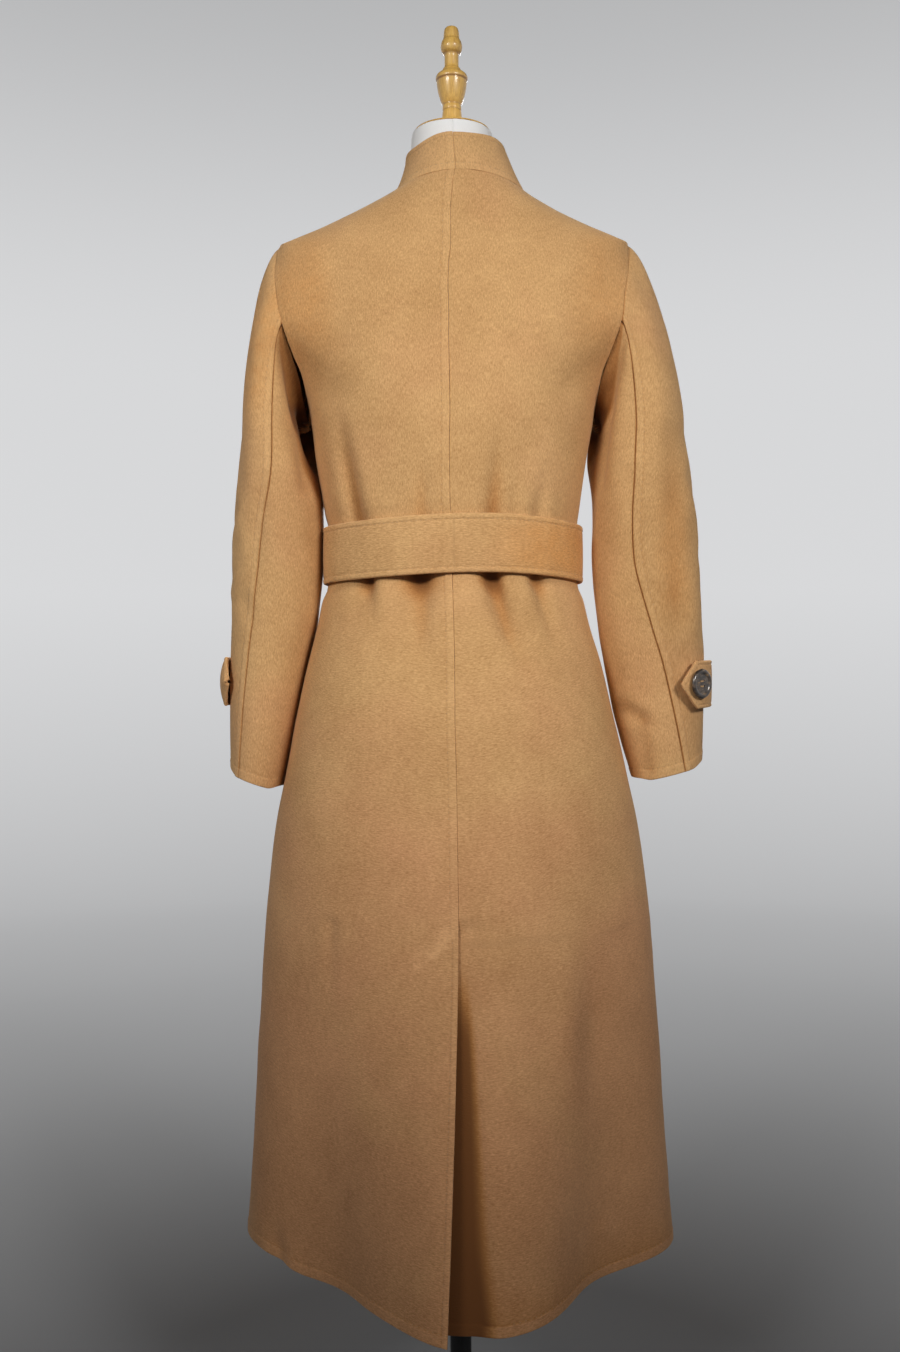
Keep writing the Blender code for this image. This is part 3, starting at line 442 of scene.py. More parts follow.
def body_rows(extra: Sequence[float] = ()) -> Array:
    """Row numbers of a body panel: close at the hem, the neck and extra heights, else about 5.5 mm apart."""
    low = BODY["hem"].back_z
    top = BODY["underarm"].back_z
    heights = np.concatenate([low + EDGE_STEPS, np.arange(low + 0.0215, top - 0.003, 0.0055), extra])
    lower = row_at_height(np.unique(np.round(heights, 4)))
    upper = np.linspace(ROW["underarm"], ROW["neck"] - 0.3, 56)
    neck = ROW["neck"] - np.array([0.22, 0.15, 0.09, 0.04, 0.015, 0.0])
    return np.concatenate([lower, upper, neck])


def armhole_share(at: Array) -> Array:
    """1 along the armhole's rows, fading out under the arm and at the shoulder."""
    return ramp(at, ROW["underarm"] - 0.2, ROW["underarm"] + 0.6) \
        * ramp(at, ROW["shoulder"] + 0.1, ROW["shoulder"] - 0.5)


@dataclass(frozen=True)
class Body:
    """A quarter of the coat's body surface, back or front, on one side of the wearer.

    A point is read by a row number (hem to neck) and an angle from the centre back or front.  Each
    level is a superellipse, lifted or set in by the vent, the wrap, the gathers and the valleys.

    Attributes:
        side: 1 on the wearer's left, -1 on the right.
        aside_waist: How far aside the centre-back seam lies above the waist; aside_neck is added at the neck.
        pulled_up: How far the left hem's corner is pulled up.
    """

    side: int
    front: bool
    aside_waist: float = 0.0016
    aside_neck: float = 0.0037
    pulled_up: float = 0.013
    round_power: float = 0.55
    vent: Vent = Vent()
    wrap: Wrap = Wrap()

    def level(self, at: Array) -> Level:
        """The levels at fractional row numbers: smooth up to the round armhole's top, then straight."""
        low = np.clip(np.floor(at).astype(int), 0, len(BODY_TABLE) - 2)
        straight = BODY_TABLE[low] + (BODY_TABLE[low + 1] - BODY_TABLE[low]) * (at - low)[..., None]
        rows = np.where((at > ROW["shoulder"])[..., None], straight, along(BODY_TABLE, at))
        level = Level(*np.moveaxis(rows, -1, 0))
        last = BODY["arm_5"]
        round_top = (1 - np.clip(at - ROW["arm_5"], 0, 1)) ** self.round_power
        near_top = at > ROW["arm_5"]
        return level._replace(back_edge=np.where(near_top, last.back_edge * round_top, level.back_edge),
                              front_edge=np.where(near_top, last.front_edge * round_top, level.front_edge))

    def own_half(self, level: Level) -> tuple[Array, Array, Array]:
        """The edge, the depth and the middle's height of the back or of the front."""
        if self.front:
            return level.front_edge, level.front_depth, level.front_z
        return level.back_edge, level.back_depth, level.back_z

    def edge_angle(self, level: Level) -> Array:
        """The angle from the centre line to the side seam, armhole or shoulder seam."""
        edge, depth, _ = self.own_half(level)
        return np.arccos(np.clip(edge / depth, 0, 1) ** (level.power / 2))

    def seam_angle(self, at: Array) -> Array:
        """The angle of the panel's own edge, half a gap short of the seam."""
        level = self.level(at)
        edge = self.edge_angle(level)
        half_gap = SEW.gap / 2 / self.own_half(level)[1]
        at_armhole = (at > ROW["underarm"]) & (at < ROW["shoulder"])
        return np.where(at_armhole, edge, edge - half_gap)

    def centre_angle(self, at: Array) -> Array:
        """The angle of a back's centre edge or a front's free edge."""
        level = self.level(at)
        if self.front:
            return np.radians(level.lap)
        vent = self.vent
        swing = vent.swing * vent.share(level.back_z) ** vent.swing_power if self.side > 0 else 0.0
        aside = self.aside_waist * ramp(level.back_z, 0.95, 1.07)
        aside = aside + self.aside_neck * ramp(level.back_z, 1.32, 1.41)
        seam = np.arcsin((SEW.gap / 2 + swing + self.side * aside) / level.half_width)
        if self.side > 0:
            return seam
        under = -np.arcsin(vent.underlap / level.half_width)
        return seam + (under - seam) * ramp(level.back_z, vent.top, vent.top - vent.ramp)

    def lift(self, level: Level, angle: Array) -> Array:
        """What the vent and the wrap add to the body's own radius."""
        vent, wrap = self.vent, self.wrap
        share = vent.share(level.back_z)
        if self.front and self.side > 0:
            crossed = ramp(level.lap, wrap.apart, wrap.crossed)
            return -wrap.inset * crossed * ramp(angle, wrap.none, wrap.full)
        if self.front:
            return np.zeros(np.broadcast(angle, share).shape)
        if self.side > 0:
            return vent.lift * share ** vent.lift_power * bell(angle, vent.lift_spread)
        ease = ramp(level.back_z, vent.top + vent.start + vent.ease, vent.top + vent.start)
        inset = vent.inset + (vent.inset_at_hem - vent.inset) * share
        return -inset * ease * ramp(angle, vent.inset_none, vent.inset_full)

    def point(self, at: Array, angle: Array) -> Array:
        """Points of the body's outer face."""
        level = self.level(at)
        edge = self.edge_angle(level)
        _, depth, middle = self.own_half(level)
        reach = level.half_width / np.sin(edge) ** (2 / level.power)
        x = self.side * reach * signed_power(np.sin(angle), 2 / level.power)
        y = depth * signed_power(np.cos(angle), 2 / level.power) * (-1 if self.front else 1)
        z = level.side_z + (middle - level.side_z) * np.cos(angle / edge * math.pi / 2) ** 2
        if self.side > 0:
            z = z + self.pulled_up * ramp(x, 0.208, 0.243) * ramp(z, 0.36, 0.26)
        degrees = np.degrees(self.side * (math.pi - angle if self.front else angle))
        out = self.lift(level, angle) - gather_depth(degrees, z) - valley_depth(degrees, z)
        grow = 1 + out / np.hypot(x, y)
        return joined(x * grow + level.shift, y * grow, z)


class Seen(Enum):
    """The side that a fold is drawn from: its across axis and the way it faces."""

    BACK = (0, (0.0, 1.0, 0.0))
    FRONT = (0, (0.0, -1.0, 0.0))
    LEFT = (1, (1.0, 0.0, 0.0))
    RIGHT = (1, (-1.0, 0.0, 0.0))


@dataclass(frozen=True)
class Fold:
    """A soft trough, or a ridge where its depth is negative, drawn on the cloth.

    Attributes:
        path: Points as (across, height), seen straight on.
        depths: The depth at each point.
        width: The trough's half width.
        seen: The side it is drawn from.
        shoulder: The share of the depth that piles up on either side.
        shade: How dark the painted shade lies in the trough, or how light the painted highlight lies on a ridge.
    """

    path: tuple[tuple[float, float], ...]
    depths: tuple[float, ...]
    width: float
    seen: Seen = Seen.BACK
    shoulder: float = 0.28
    shade: float = 0.0

    def relief(self, points: Array, normal: Array) -> tuple[Array, Array]:
        """How far the fold moves the cloth along its normals, and the shade that it paints into the cloth's
        tone.

        The distance to the nearest stretch of the path gives a bell-shaped trough with two low
        shoulders, whose depth runs straight between the path's points.  It fades where the cloth
        turns away from the side that the fold is drawn from.

        Args:
            points: The cloth's points.
            normal: Its normals.

        Returns:
            The movement and the painted tone at each point: painted shade in a trough, a painted highlight on a
            ridge.
        """
        axis, facing = self.seen.value
        place = joined(points[..., axis], points[..., 2])
        nearest = np.full(points.shape[:-1], np.inf)
        depth = np.zeros(points.shape[:-1])
        for number, (start, end) in enumerate(zip(self.path[:-1], self.path[1:])):
            way = np.subtract(end, start)
            share = np.clip((place - start) @ way / (way @ way), 0, 1)
            away = np.linalg.norm(place - start - share[..., None] * way, axis=-1)
            here = self.depths[number] + (self.depths[number + 1] - self.depths[number]) * share
            depth = np.where(away < nearest, here, depth)
            nearest = np.minimum(away, nearest)
        trough = bell(nearest, self.width)
        sides = bell(nearest / self.width - 2.1, 1.1)
        shown = ramp(normal @ np.array(facing), 0.05, 0.45)
        return -depth * (trough - self.shoulder * sides) * shown, \
            -self.shade * trough * shown * depth / max(map(abs, self.depths))


def sewn_band(distance: Array, width: float, rise: float = SEW.rise, groove: float = SEW.groove) -> Array:
    """A band sewn down along an edge: raised as far as its width, with a narrow groove at its stitches."""
    band = rise * (1 - ramp(distance, width - 0.0018, width + 0.0006))
    return band - groove * bell(distance - width, 0.0008)


def band_tone(distance: Array, width: float) -> Array:
    """The nap's tone on a sewn band: lighter on it, darker in its groove."""
    return 0.8 * (1 - ramp(distance, width - 0.002, width + 0.001)) \
        - 0.8 * bell(distance - width, 0.0010)


def rolled(distance: Array, radius: float) -> Array:
    """A quarter round at an edge: 1 at the edge itself, 0 from the radius on."""
    return 1 - np.sqrt(1 - (1 - np.clip(distance / radius, 0, 1)) ** 2)


def grid_quads(rows: int, columns: int, around: bool = False, looped: bool = False) -> Array:
    """Quads of a grid of points, its last column joined to its first when around, its last row when looped."""
    index = np.arange(rows * columns).reshape(rows, columns)
    index = np.pad(index, ((0, int(looped)), (0, int(around))), "wrap")
    return joined(index[:-1, :-1], index[:-1, 1:], index[1:, 1:], index[1:, :-1]).reshape(-1, 4)


def fan(tip: int, ring: Array) -> Array:
    """Triangles from one point to a ring of points, in the ring's own order."""
    return joined(np.full_like(ring, tip), ring, np.roll(ring, -1))


def closed_faces(rows: int, segments: int) -> list[Array]:
    """Faces of a grid of rings with two more points, which close its first and its last ring."""
    count = rows * segments
    ring = np.arange(segments)
    ends = np.concatenate([fan(count, ring), fan(count + 1, ring[::-1] + count - segments)])
    return [grid_quads(rows, segments, True)[:, ::-1], ends]


def add_piece(name: str, points: Array, faces: Sequence[Array], uv: Array, tone: Array) -> Piece:
    """One smooth-shaded piece at the origin.

    Args:
        name: The piece's name.
        points: Its points, (n, 3).
        faces: Arrays of quads and triangles.
        uv: The cloth's own place of each point in metres, (n, 2).
        tone: How light each point is painted, 0 for plain: the nap, seams and stains, and on the cloth painted
            shade.

    Returns:
        The object.
    """
    mesh = bpy.data.meshes.new(name)
    mesh.from_pydata(points.tolist(), [], [face for group in faces for face in group.tolist()])
    corners = np.empty(len(mesh.loops), dtype=np.int32)
    mesh.loops.foreach_get("vertex_index", corners)
    layer = mesh.uv_layers.new(name="UVMap")
    layer.data.foreach_set("uv", uv[corners].astype(np.float32).ravel())
    nap = mesh.attributes.new("nap", "FLOAT", "POINT")
    nap.data.foreach_set("value", tone.astype(np.float32).ravel())
    mesh.shade_smooth()
    mesh.update()
    piece = bpy.data.objects.new(name, mesh)
    bpy.context.scene.collection.objects.link(piece)
    return piece


def add_closed(name: str, rings: Array, poles: Array, uv: tuple[Array, Array], tone: Array,
               facing: int = 1) -> Piece:
    """A closed form: rings of points, with a pole at either end.

    Args:
        name: The piece's name.
        rings: The points, (rows, segments, 3).
        poles: The two poles' points, (2, 3).
        uv: The surface's own place round the rings and along them, in metres.
        tone: How light each point of the rings is painted: seams and stains, and painted shade in the knot's
            pleats.
        facing: -1 where the rings run the other way round.

    Returns:
        The object.
    """
    faces = [group[:, ::facing] for group in closed_faces(*rings.shape[:2])]
    place = joined(*uv).reshape(-1, 2)
    return add_piece(name, np.concatenate([rings.reshape(-1, 3), poles]), faces,
                     np.concatenate([place, np.zeros((2, 2))]), np.concatenate([tone.ravel(), np.zeros(2)]))


def own(piece: Piece, material: Material, slot: str, node: str = "") -> Piece:
    """Dress a piece, let it ride on the part, and put it in place of its CAD node."""
    piece.data.materials.append(material)
    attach(piece, ROOT)
    if node:
        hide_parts(node)
    LOG.info("%s: %d points", piece.name, len(piece.data.vertices))
    return piece


class Held(Enum):
    """How a sheet of cloth is held."""

    HUNG = "hung"
    GATHERED = "gathered"
    FOLDED = "folded"
    STRETCHED = "stretched"


@dataclass
class Cloth:
    """A panel of cloth as a grid of points on its right side.

    Attributes:
        face: The points, (rows, columns, 3).
        facing: 1 where rows crossed with columns point outwards, else -1.
        thickness: The cloth's thickness.
        edges: Radii of the rolled edges at the first and last columns and the first and last rows.
        sunk: The share of the thickness that each of these edges is rolled down by.
        relief: How far the sewing raises each point.
        tone: How light the nap is at each point, with painted shade and painted highlights added to it.
        first: Each point's distance from the first column; last, low and high are the other edges'.
    """

    face: Array
    facing: int
    thickness: float
    edges: tuple[float, ...]
    sunk: tuple[Array | float, ...] = (0.42, 0.42, 0.42, 0.42)
    relief: Array = field(init=False)
    tone: Array = field(init=False)
    first: Array = field(init=False)
    last: Array = field(init=False)
    low: Array = field(init=False)
    high: Array = field(init=False)

    def __post_init__(self) -> None:
        """Measure the cloth along its rows and columns while it is still smooth."""
        self.relief = np.zeros(self.face.shape[:2])
        self.tone = np.zeros(self.face.shape[:2])
        self.first = run_length(self.face, 1)
        self.last = self.first[:, -1:] - self.first
        self.low = run_length(self.face, 0)
        self.high = self.low[-1:] - self.low

    def normals(self) -> Array:
        """Unit normals from the steps between neighbouring points."""
        up = np.gradient(self.face, axis=0)
        across = np.gradient(self.face, axis=1)
        normal = np.cross(up, across) * self.facing
        return normal / np.maximum(np.linalg.norm(normal, axis=-1, keepdims=True), 1e-12)

    def fold(self, folds: Sequence[Fold]) -> None:
        """Bend the whole cloth by its folds."""
        normal = self.normals()
        move = np.zeros(self.face.shape[:2])
        for one in folds:
            moved, tone = one.relief(self.face, normal)
            move += moved
            # A fold's tone is painted shade in its trough, a painted highlight on a ridge.
            self.tone = self.tone + tone
        self.face = self.face + normal * move[..., None]

    def ease(self, height: float, length: float, seed: int) -> None:
        """Let the cloth lie a little unevenly, but never inwards."""
        uneven = ripple(self.first, self.low, length, seed)
        self.face = self.face + self.normals() * (height * (uneven + 0.35).clip(0))[..., None]

    def sew(self, distance: Array, width: float, where: Array | float = 1.0) -> None:
        """Sew a band down along an edge, with puckers along its stitches."""
        run = self.low if distance is self.first or distance is self.last else self.first
        near = bell(distance - width, SEW.pucker_reach)
        pucker = SEW.pucker * near * np.sin(run * SEW.pucker_turns + 3 * np.sin(run * 71))
        self.relief = self.relief + where * (sewn_band(distance, width) + pucker)
        self.tone = self.tone + where * band_tone(distance, width)

    def outer(self) -> Array:
        """The right side's points, with its sewing and its rolled edges."""
        return self.face + self.normals() * (self.relief - self.thickness * self.roll())[..., None]

    def roll(self) -> Array:
        """The share of the thickness that each point is rolled down by at the four edges."""
        distances = (self.first, self.last, self.low, self.high)
        return np.max([share * rolled(away, radius)
                       for away, radius, share in zip(distances, self.edges, self.sunk)], axis=0)

    def seam_line(self, column: int, rows: slice = slice(None)) -> tuple[Array, Array]:
        """Points and normals down one column, for stitches."""
        return self.outer()[rows, column], self.normals()[rows, column]

    def hem_line(self, row: int) -> tuple[Array, Array]:
        """Points and normals along one row, for stitches."""
        return self.outer()[row], self.normals()[row]

    def shell(self, name: str) -> Piece:
        """A closed wall: the right side, the wrong side and a rim round all four edges."""
        rows, columns = self.face.shape[:2]
        outer = self.outer()
        inner = self.face - self.normals() * (self.thickness * (1 - self.roll()))[..., None]
        count = rows * columns
        right = grid_quads(rows, columns)[:, ::-1]
        index = np.arange(count).reshape(rows, columns)
        loop = np.concatenate([index[0, :-1], index[:-1, -1], index[-1, :0:-1], index[:0:-1, 0]])
        after = np.roll(loop, -1)
        rim = joined(loop, after, after + count, loop + count)
        faces = [right, right[:, ::-1] + count, rim]
        if self.facing < 0:
            faces = [group[:, ::-1] for group in faces]
        place = joined(self.first, self.low).reshape(-1, 2)
        points = np.concatenate([outer.reshape(-1, 3), inner.reshape(-1, 3)])
        tone = np.concatenate([self.tone.ravel(), np.zeros(count)])
        return add_piece(name, points, faces, np.concatenate([place, place]), tone)

    def cut(self) -> tuple[tuple[float, float], float]:
        """The flat size that holds the panel, and its area."""
        one = np.cross(np.diff(self.face, axis=0)[:, :-1], np.diff(self.face, axis=1)[:-1])
        two = np.cross(np.diff(self.face, axis=0)[:, 1:], np.diff(self.face, axis=1)[1:])
        area = (np.linalg.norm(one, axis=-1) + np.linalg.norm(two, axis=-1)).sum() / 2
        return (float(self.first.max()), float(self.low.max())), float(area)


def hang(cloth: Cloth, name: str, material: Material, held: Held) -> None:
    """Args:
        cloth: The sewn and folded panel.
        name: The CAD node's name.
        material: The panel's finish.
        held: How the cloth is held; not used.
    """
    piece = own(cloth.shell(f"{name}_cloth"), material, "camel_wool", name)
    (width, length), area = cloth.cut()


@dataclass
class Stitching:
    """Pick stitches: short capsules of thread, half sunk in the cloth and joined into one mesh.

    Attributes:
        rings: Each ring's place along a stitch and its size, as shares of the length and the radius.
        runs: The centres, ways along and ways out of every run of stitches.
    """

    length: float = 0.0024
    radius: float = 0.00030
    sides: int = 5
    rings: tuple[tuple[float, float], ...] = ((-0.36, 0.75), (0.0, 1.0), (0.36, 0.75))
    runs: list[tuple[Array, Array, Array]] = field(default_factory=list)

    def sew(self, line: tuple[Array, Array], pitch: float = SEW.pitch) -> None:
        """Set stitches evenly along a line of points with normals.

        Args:
            line: The points and the normals.
            pitch: The distance from stitch to stitch.
        """
        points, normal = line
        length = run_length(points[None], 1)[0]
        middle = np.arange(pitch / 2, length[-1], pitch)
        read = [np.stack([np.interp(at, length, part[:, axis]) for axis in range(3)], axis=-1)
                for at, part in ((middle, points), (middle + 0.0005, points), (middle, normal))]
        way = read[1] - read[0]
        way = way / np.maximum(np.linalg.norm(way, axis=-1, keepdims=True), 1e-9)
        self.runs.append((read[0], way, read[2]))

    def build(self, material: Material) -> Piece:
        """All stitches as one mesh: each is three rings of thread closed by a point at either end."""
        centre, way, out = (np.concatenate(part) for part in zip(*self.runs))
        side = np.cross(out, way)
        turn = full_turn(self.sides)
        rings = [(place, size * math.cos(angle), size * math.sin(angle))
                 for place, size in self.rings for angle in turn]
        local = np.array(rings + [(-0.5, 0.0, 0.0), (0.5, 0.0, 0.0)]) * (self.length, self.radius, self.radius)
        points = centre[:, None] + local @ np.stack([way, side, out], axis=1)
        offset = np.arange(len(centre))[:, None, None] * len(local)
        faces = [(group[:, ::-1] + offset).reshape(-1, group.shape[1]) for group in closed_faces(3, self.sides)]
        flat = points.reshape(-1, 3)
        piece = add_piece("pick_stitches", flat, faces, flat[:, [0, 2]], np.zeros(len(flat)))
        return own(piece, material, "camel_wool")


class Value:
    """A shader socket that takes part in Python arithmetic."""

    def __init__(self, nodes: "Nodes", socket: bpy.types.NodeSocket) -> None:
        """Keep the socket and the tree it belongs to."""
        self.nodes = nodes
        self.socket = socket

    def math(self, operation: str, *values: Any) -> "Value":
        """A Math node on values, in their order."""
        node = self.nodes.add("ShaderNodeMath", {"operation": operation}, dict(enumerate(values)))
        return Value(self.nodes, node.outputs[0])

    def __add__(self, other: Any) -> "Value":
        """The sum."""
        return self.math("ADD", self, other)

    __radd__ = __add__

    def __sub__(self, other: Any) -> "Value":
        """The difference."""
        return self.math("SUBTRACT", self, other)

    def __rsub__(self, other: Any) -> "Value":
        """The difference from a number."""
        return self.math("SUBTRACT", other, self)

    def __mul__(self, other: Any) -> "Value":
        """The product."""
        return self.math("MULTIPLY", self, other)

    __rmul__ = __mul__

    def __abs__(self) -> "Value":
        """The value without its sign."""
        return self.math("ABSOLUTE", self)

    def step(self, start: float, end: float) -> "Value":
        """A smooth step from 0 at start to 1 at end."""
        node = self.nodes.add("ShaderNodeMapRange", {"interpolation_type": "SMOOTHSTEP"},
                              {"Value": self, "From Min": start, "From Max": end})
        return Value(self.nodes, node.outputs["Result"])


class Nodes:
    """A material's node tree, with one way to add a node."""

    def __init__(self, name: str) -> None:
        """Start a material that holds only its shader and its output."""
        self.material = bpy.data.materials.new(name)
        self.material.use_nodes = True
        self.tree = self.material.node_tree
        self.shader = self.tree.nodes["Principled BSDF"]

    def add(self, kind: str, settings: dict[str, Any] | None = None,
            inputs: dict[str | int, Any] | None = None) -> bpy.types.Node:
        """Any node, from its type, its settings and its sockets' values or links.

        Args:
            kind: The node's type.
            settings: Attributes, which are set first.
            inputs: Numbers, tuples or Values by socket name or number.

        Returns:
            The node.
        """
        node = self.tree.nodes.new(kind)
        for name, setting in (settings or {}).items():
            setattr(node, name, setting)
        for name, value in (inputs or {}).items():
            self.feed(node.inputs[name], value)
        return node

    def feed(self, socket: bpy.types.NodeSocket, value: Any) -> None:
        """Link a Value to a socket, or set the socket's own number or full colour."""
        if isinstance(value, Value):
            self.tree.links.new(value.socket, socket)
        else:
            socket.default_value = (*value, 1.0) if socket.type == "RGBA" else value

    def place(self) -> Value:
        """Object coordinates."""
        return Value(self, self.add("ShaderNodeTexCoord").outputs["Object"])

    def cloth_place(self) -> Value:
        """The cloth's own place in metres."""
        return Value(self, self.add("ShaderNodeUVMap", {"uv_map": "UVMap"}).outputs["UV"])

    def nap_tone(self) -> Value:
        """The piece's own tone attribute."""
        return Value(self, self.add("ShaderNodeAttribute", {"attribute_name": "nap"}).outputs["Fac"])

    def stretch(self, vector: Value, scale: tuple[float, float, float]) -> Value:
        """A place multiplied axis by axis."""
        node = self.add("ShaderNodeVectorMath", {"operation": "MULTIPLY"}, {0: vector, 1: scale})
        return Value(self, node.outputs["Vector"])

    def noise(self, vector: Value, scale: float, detail: float = 2.0, roughness: float = 0.55) -> Value:
        """Smooth noise of 0 to 1."""
        node = self.add("ShaderNodeTexNoise", {}, {"Vector": vector, "Scale": scale, "Detail": detail,
                                                   "Roughness": roughness})
        return Value(self, node.outputs["Fac"])

    def split(self, vector: Value) -> tuple[Value, Value, Value]:
        """A vector's three numbers."""
        node = self.add("ShaderNodeSeparateXYZ", {}, {0: vector})
        return tuple(Value(self, node.outputs[axis]) for axis in "XYZ")

    def blend(self, share: Value, low: Any, high: Any) -> Value:
        """A colour between two others."""
        node = self.add("ShaderNodeMix", {"data_type": "RGBA"}, {0: share, 6: low, 7: high})
        return Value(self, node.outputs[2])

    def bump(self, height: Value, distance: float, strength: float) -> Value:
        """A normal from a height."""
        node = self.add("ShaderNodeBump", {}, {"Height": height, "Distance": distance, "Strength": strength})
        return Value(self, node.outputs["Normal"])

    def finish(self, sockets: dict[str, Any]) -> Material:
        """Feed the shader's sockets and return the material."""
        for name, value in sockets.items():
            self.feed(self.shader.inputs[name], value)
        return self.material


class Nap(Enum):
    """Which way the wool's streaks run on a piece."""

    DOWN = "down"
    ROUND = "round"
    BODY = "body"


class Mark(NamedTuple):
    """A worn streak on the cloth, or a streak of painted shade: its ends as (x, z), half width, strength and
    unevenness.
    """

    start: tuple[float, float]
    end: tuple[float, float]
    width: float
    strength: float
    uneven: float = 1.0


@dataclass(frozen=True)
class Wool:
    """Brushed camel wool: a short nap in streaks, soft mottling, lighter on sewn bands, a low sheen, and painted
    shade: darker and redder low down, warmer and then deep brown where the tone is dark.
    """

    dark: Colour = (0.425, 0.222, 0.080)
    light: Colour = (0.735, 0.440, 0.192)
    # Painted shade: the lower coat's colours, darker and redder, as where less light falls.
    low_dark: Colour = (0.420, 0.194, 0.077)
    low_light: Colour = (0.730, 0.380, 0.181)
    warm_dark: Colour = (0.455, 0.193, 0.055)
    warm_light: Colour = (0.790, 0.395, 0.132)
    # The colour of the darkest painted shade, and of the sleeves' dark back seams.
    deep: Colour = (0.140, 0.046, 0.009)
    sheen: Colour = (1.0, 0.80, 0.58)

    def streak(self, nodes: Nodes, nap: Nap, fine: float) -> Value:
        """Streaks of nap about 2 mm by 8 mm at a fineness of 1, turned as the nap runs."""
        place = nodes.cloth_place()
        down = nodes.noise(nodes.stretch(place, (520.0 * fine, 110.0 * fine, 1.0)), 1.0)
        if nap is Nap.DOWN:
            return down
        across = nodes.noise(nodes.stretch(place, (95.0 * fine, 460.0 * fine, 1.0)), 1.0)
        if nap is Nap.ROUND:
            return across
        height = nodes.split(nodes.place())[2].step(0.90, 1.12)
        return down * height + across * (1 - height)

    def marked(self, nodes: Nodes, mark: Mark) -> Value:
        """A mark's tone: full on its line, uneven, fading to its width and its ends."""
        x, _, z = nodes.split(nodes.place())
        way = np.subtract(mark.end, mark.start)
        length = float(np.hypot(*way))
        ux, uz = (float(part) for part in way / length)
        run = (x - mark.start[0]) * ux + (z - mark.start[1]) * uz
        away = abs((x - mark.start[0]) * uz - (z - mark.start[1]) * ux)
        blotch = nodes.noise(nodes.place(), 75.0, 3.0).step(0.30, 0.66) * mark.uneven + (1 - mark.uneven)
        inside = run.step(-mark.width, mark.width) * (1 - run.step(length - mark.width, length + mark.width))
        return (1 - away.step(mark.width * 0.2, mark.width)) * inside * blotch * mark.strength

    def material(self, name: str, nap: Nap, marks: Sequence[Mark] = (),
                 warm: Sequence[Mark] = ()) -> Material:
        """The finish as a material.

        Args:
            name: The material's name.
            nap: Which way the streaks run.
            marks: Streaks that are worn lighter, and streaks of painted shade.
            warm: Stretches that look more orange: where the nap lies the other way, and as painted light at the
                shoulders, where they turn from the lamps.

        Returns:
            The material.
        """
        nodes = Nodes(name)
        streak = self.streak(nodes, nap, 1.35)
        fibre = self.streak(nodes, nap, 2.7)
        cloud = nodes.noise(nodes.place(), 13.0, 2.0)
        mottle = nodes.noise(nodes.place(), 48.0, 3.0)
        grain = nodes.noise(nodes.place(), 430.0, 2.0, 0.6)
        nap_tone = nodes.nap_tone()
        tone = 0.5 + nap_tone * 0.13
        for part, weight in ((streak, 0.95), (fibre, 1.00), (cloud, 0.55), (mottle, 0.32), (grain, 0.65)):
            tone = tone + (part - 0.5) * weight
        for mark in marks:
            tone = tone + self.marked(nodes, mark)
        # Painted shade: lower down the colours turn to the low ones, broken by patches.
        patch = nodes.noise(nodes.place(), 8.5, 2.0)
        high = nodes.split(nodes.place())[2].step(0.45, 1.0) + (patch - 0.5) * 1.5
        dark = nodes.blend(high, self.low_dark, self.dark)
        light = nodes.blend(high, self.low_light, self.light)
        # A low tone is mostly painted shade: there the colour turns warmer, then deep brown.
        shaded = nap_tone * -1.0
        for share in [self.marked(nodes, mark) for mark in warm] + [shaded.step(0.5, 3.0)]:
            dark = nodes.blend(share, dark, self.warm_dark)
            light = nodes.blend(share, light, self.warm_light)
        colour = nodes.blend(tone, dark, light)
        colour = nodes.blend(shaded.step(0.8, 5.0) * 0.9, colour, self.deep)
        height = streak * 0.35 + fibre * 0.40 + grain * 0.25
        return nodes.finish({
            "Base Color": colour,
            "Roughness": 0.78 + fibre * 0.18,
            "Normal": nodes.bump(height, 0.0009, 0.65),
            "Specular IOR Level": 0.18,
            "Sheen Weight": 0.32,
            "Sheen Roughness": 0.42,
            "Sheen Tint": self.sheen,
        })


@dataclass(frozen=True)
class Thread:
    """Sewing thread in the cloth's own shade, a little darker and smoother."""

    dark: Colour = (0.36, 0.20, 0.085)
    light: Colour = (0.52, 0.32, 0.145)

    def material(self, name: str) -> Material:
        """The finish as a material: two plies told apart by a fine noise."""
        nodes = Nodes(name)
        ply = nodes.noise(nodes.place(), 2600.0, 1.0)
        return nodes.finish({"Base Color": nodes.blend(ply, self.dark, self.light),
                             "Roughness": 0.55 + ply * 0.2, "Sheen Weight": 0.2})


@dataclass(frozen=True)
class Jersey:
    """The form's stretched white knit: fine ribs and a little shade between them."""

    dark: Colour = (0.84, 0.83, 0.81)
    light: Colour = (0.97, 0.965, 0.955)

    def material(self, name: str) -> Material:
        """The finish as a material: ribs and cloudy shade, darker along the sewn seam."""
        nodes = Nodes(name)
        rib = nodes.noise(nodes.stretch(nodes.cloth_place(), (1500.0, 260.0, 1.0)), 1.0)
        cloud = nodes.noise(nodes.place(), 22.0, 2.0)
        tone = 0.55 + (rib - 0.5) * 0.5 + (cloud - 0.5) * 0.35 + nodes.nap_tone() * 0.35
        return nodes.finish({"Base Color": nodes.blend(tone, self.dark, self.light),
                             "Roughness": 0.82 + rib * 0.12, "Normal": nodes.bump(rib, 0.0004, 0.4),
                             "Sheen Weight": 0.15, "Specular IOR Level": 0.25})


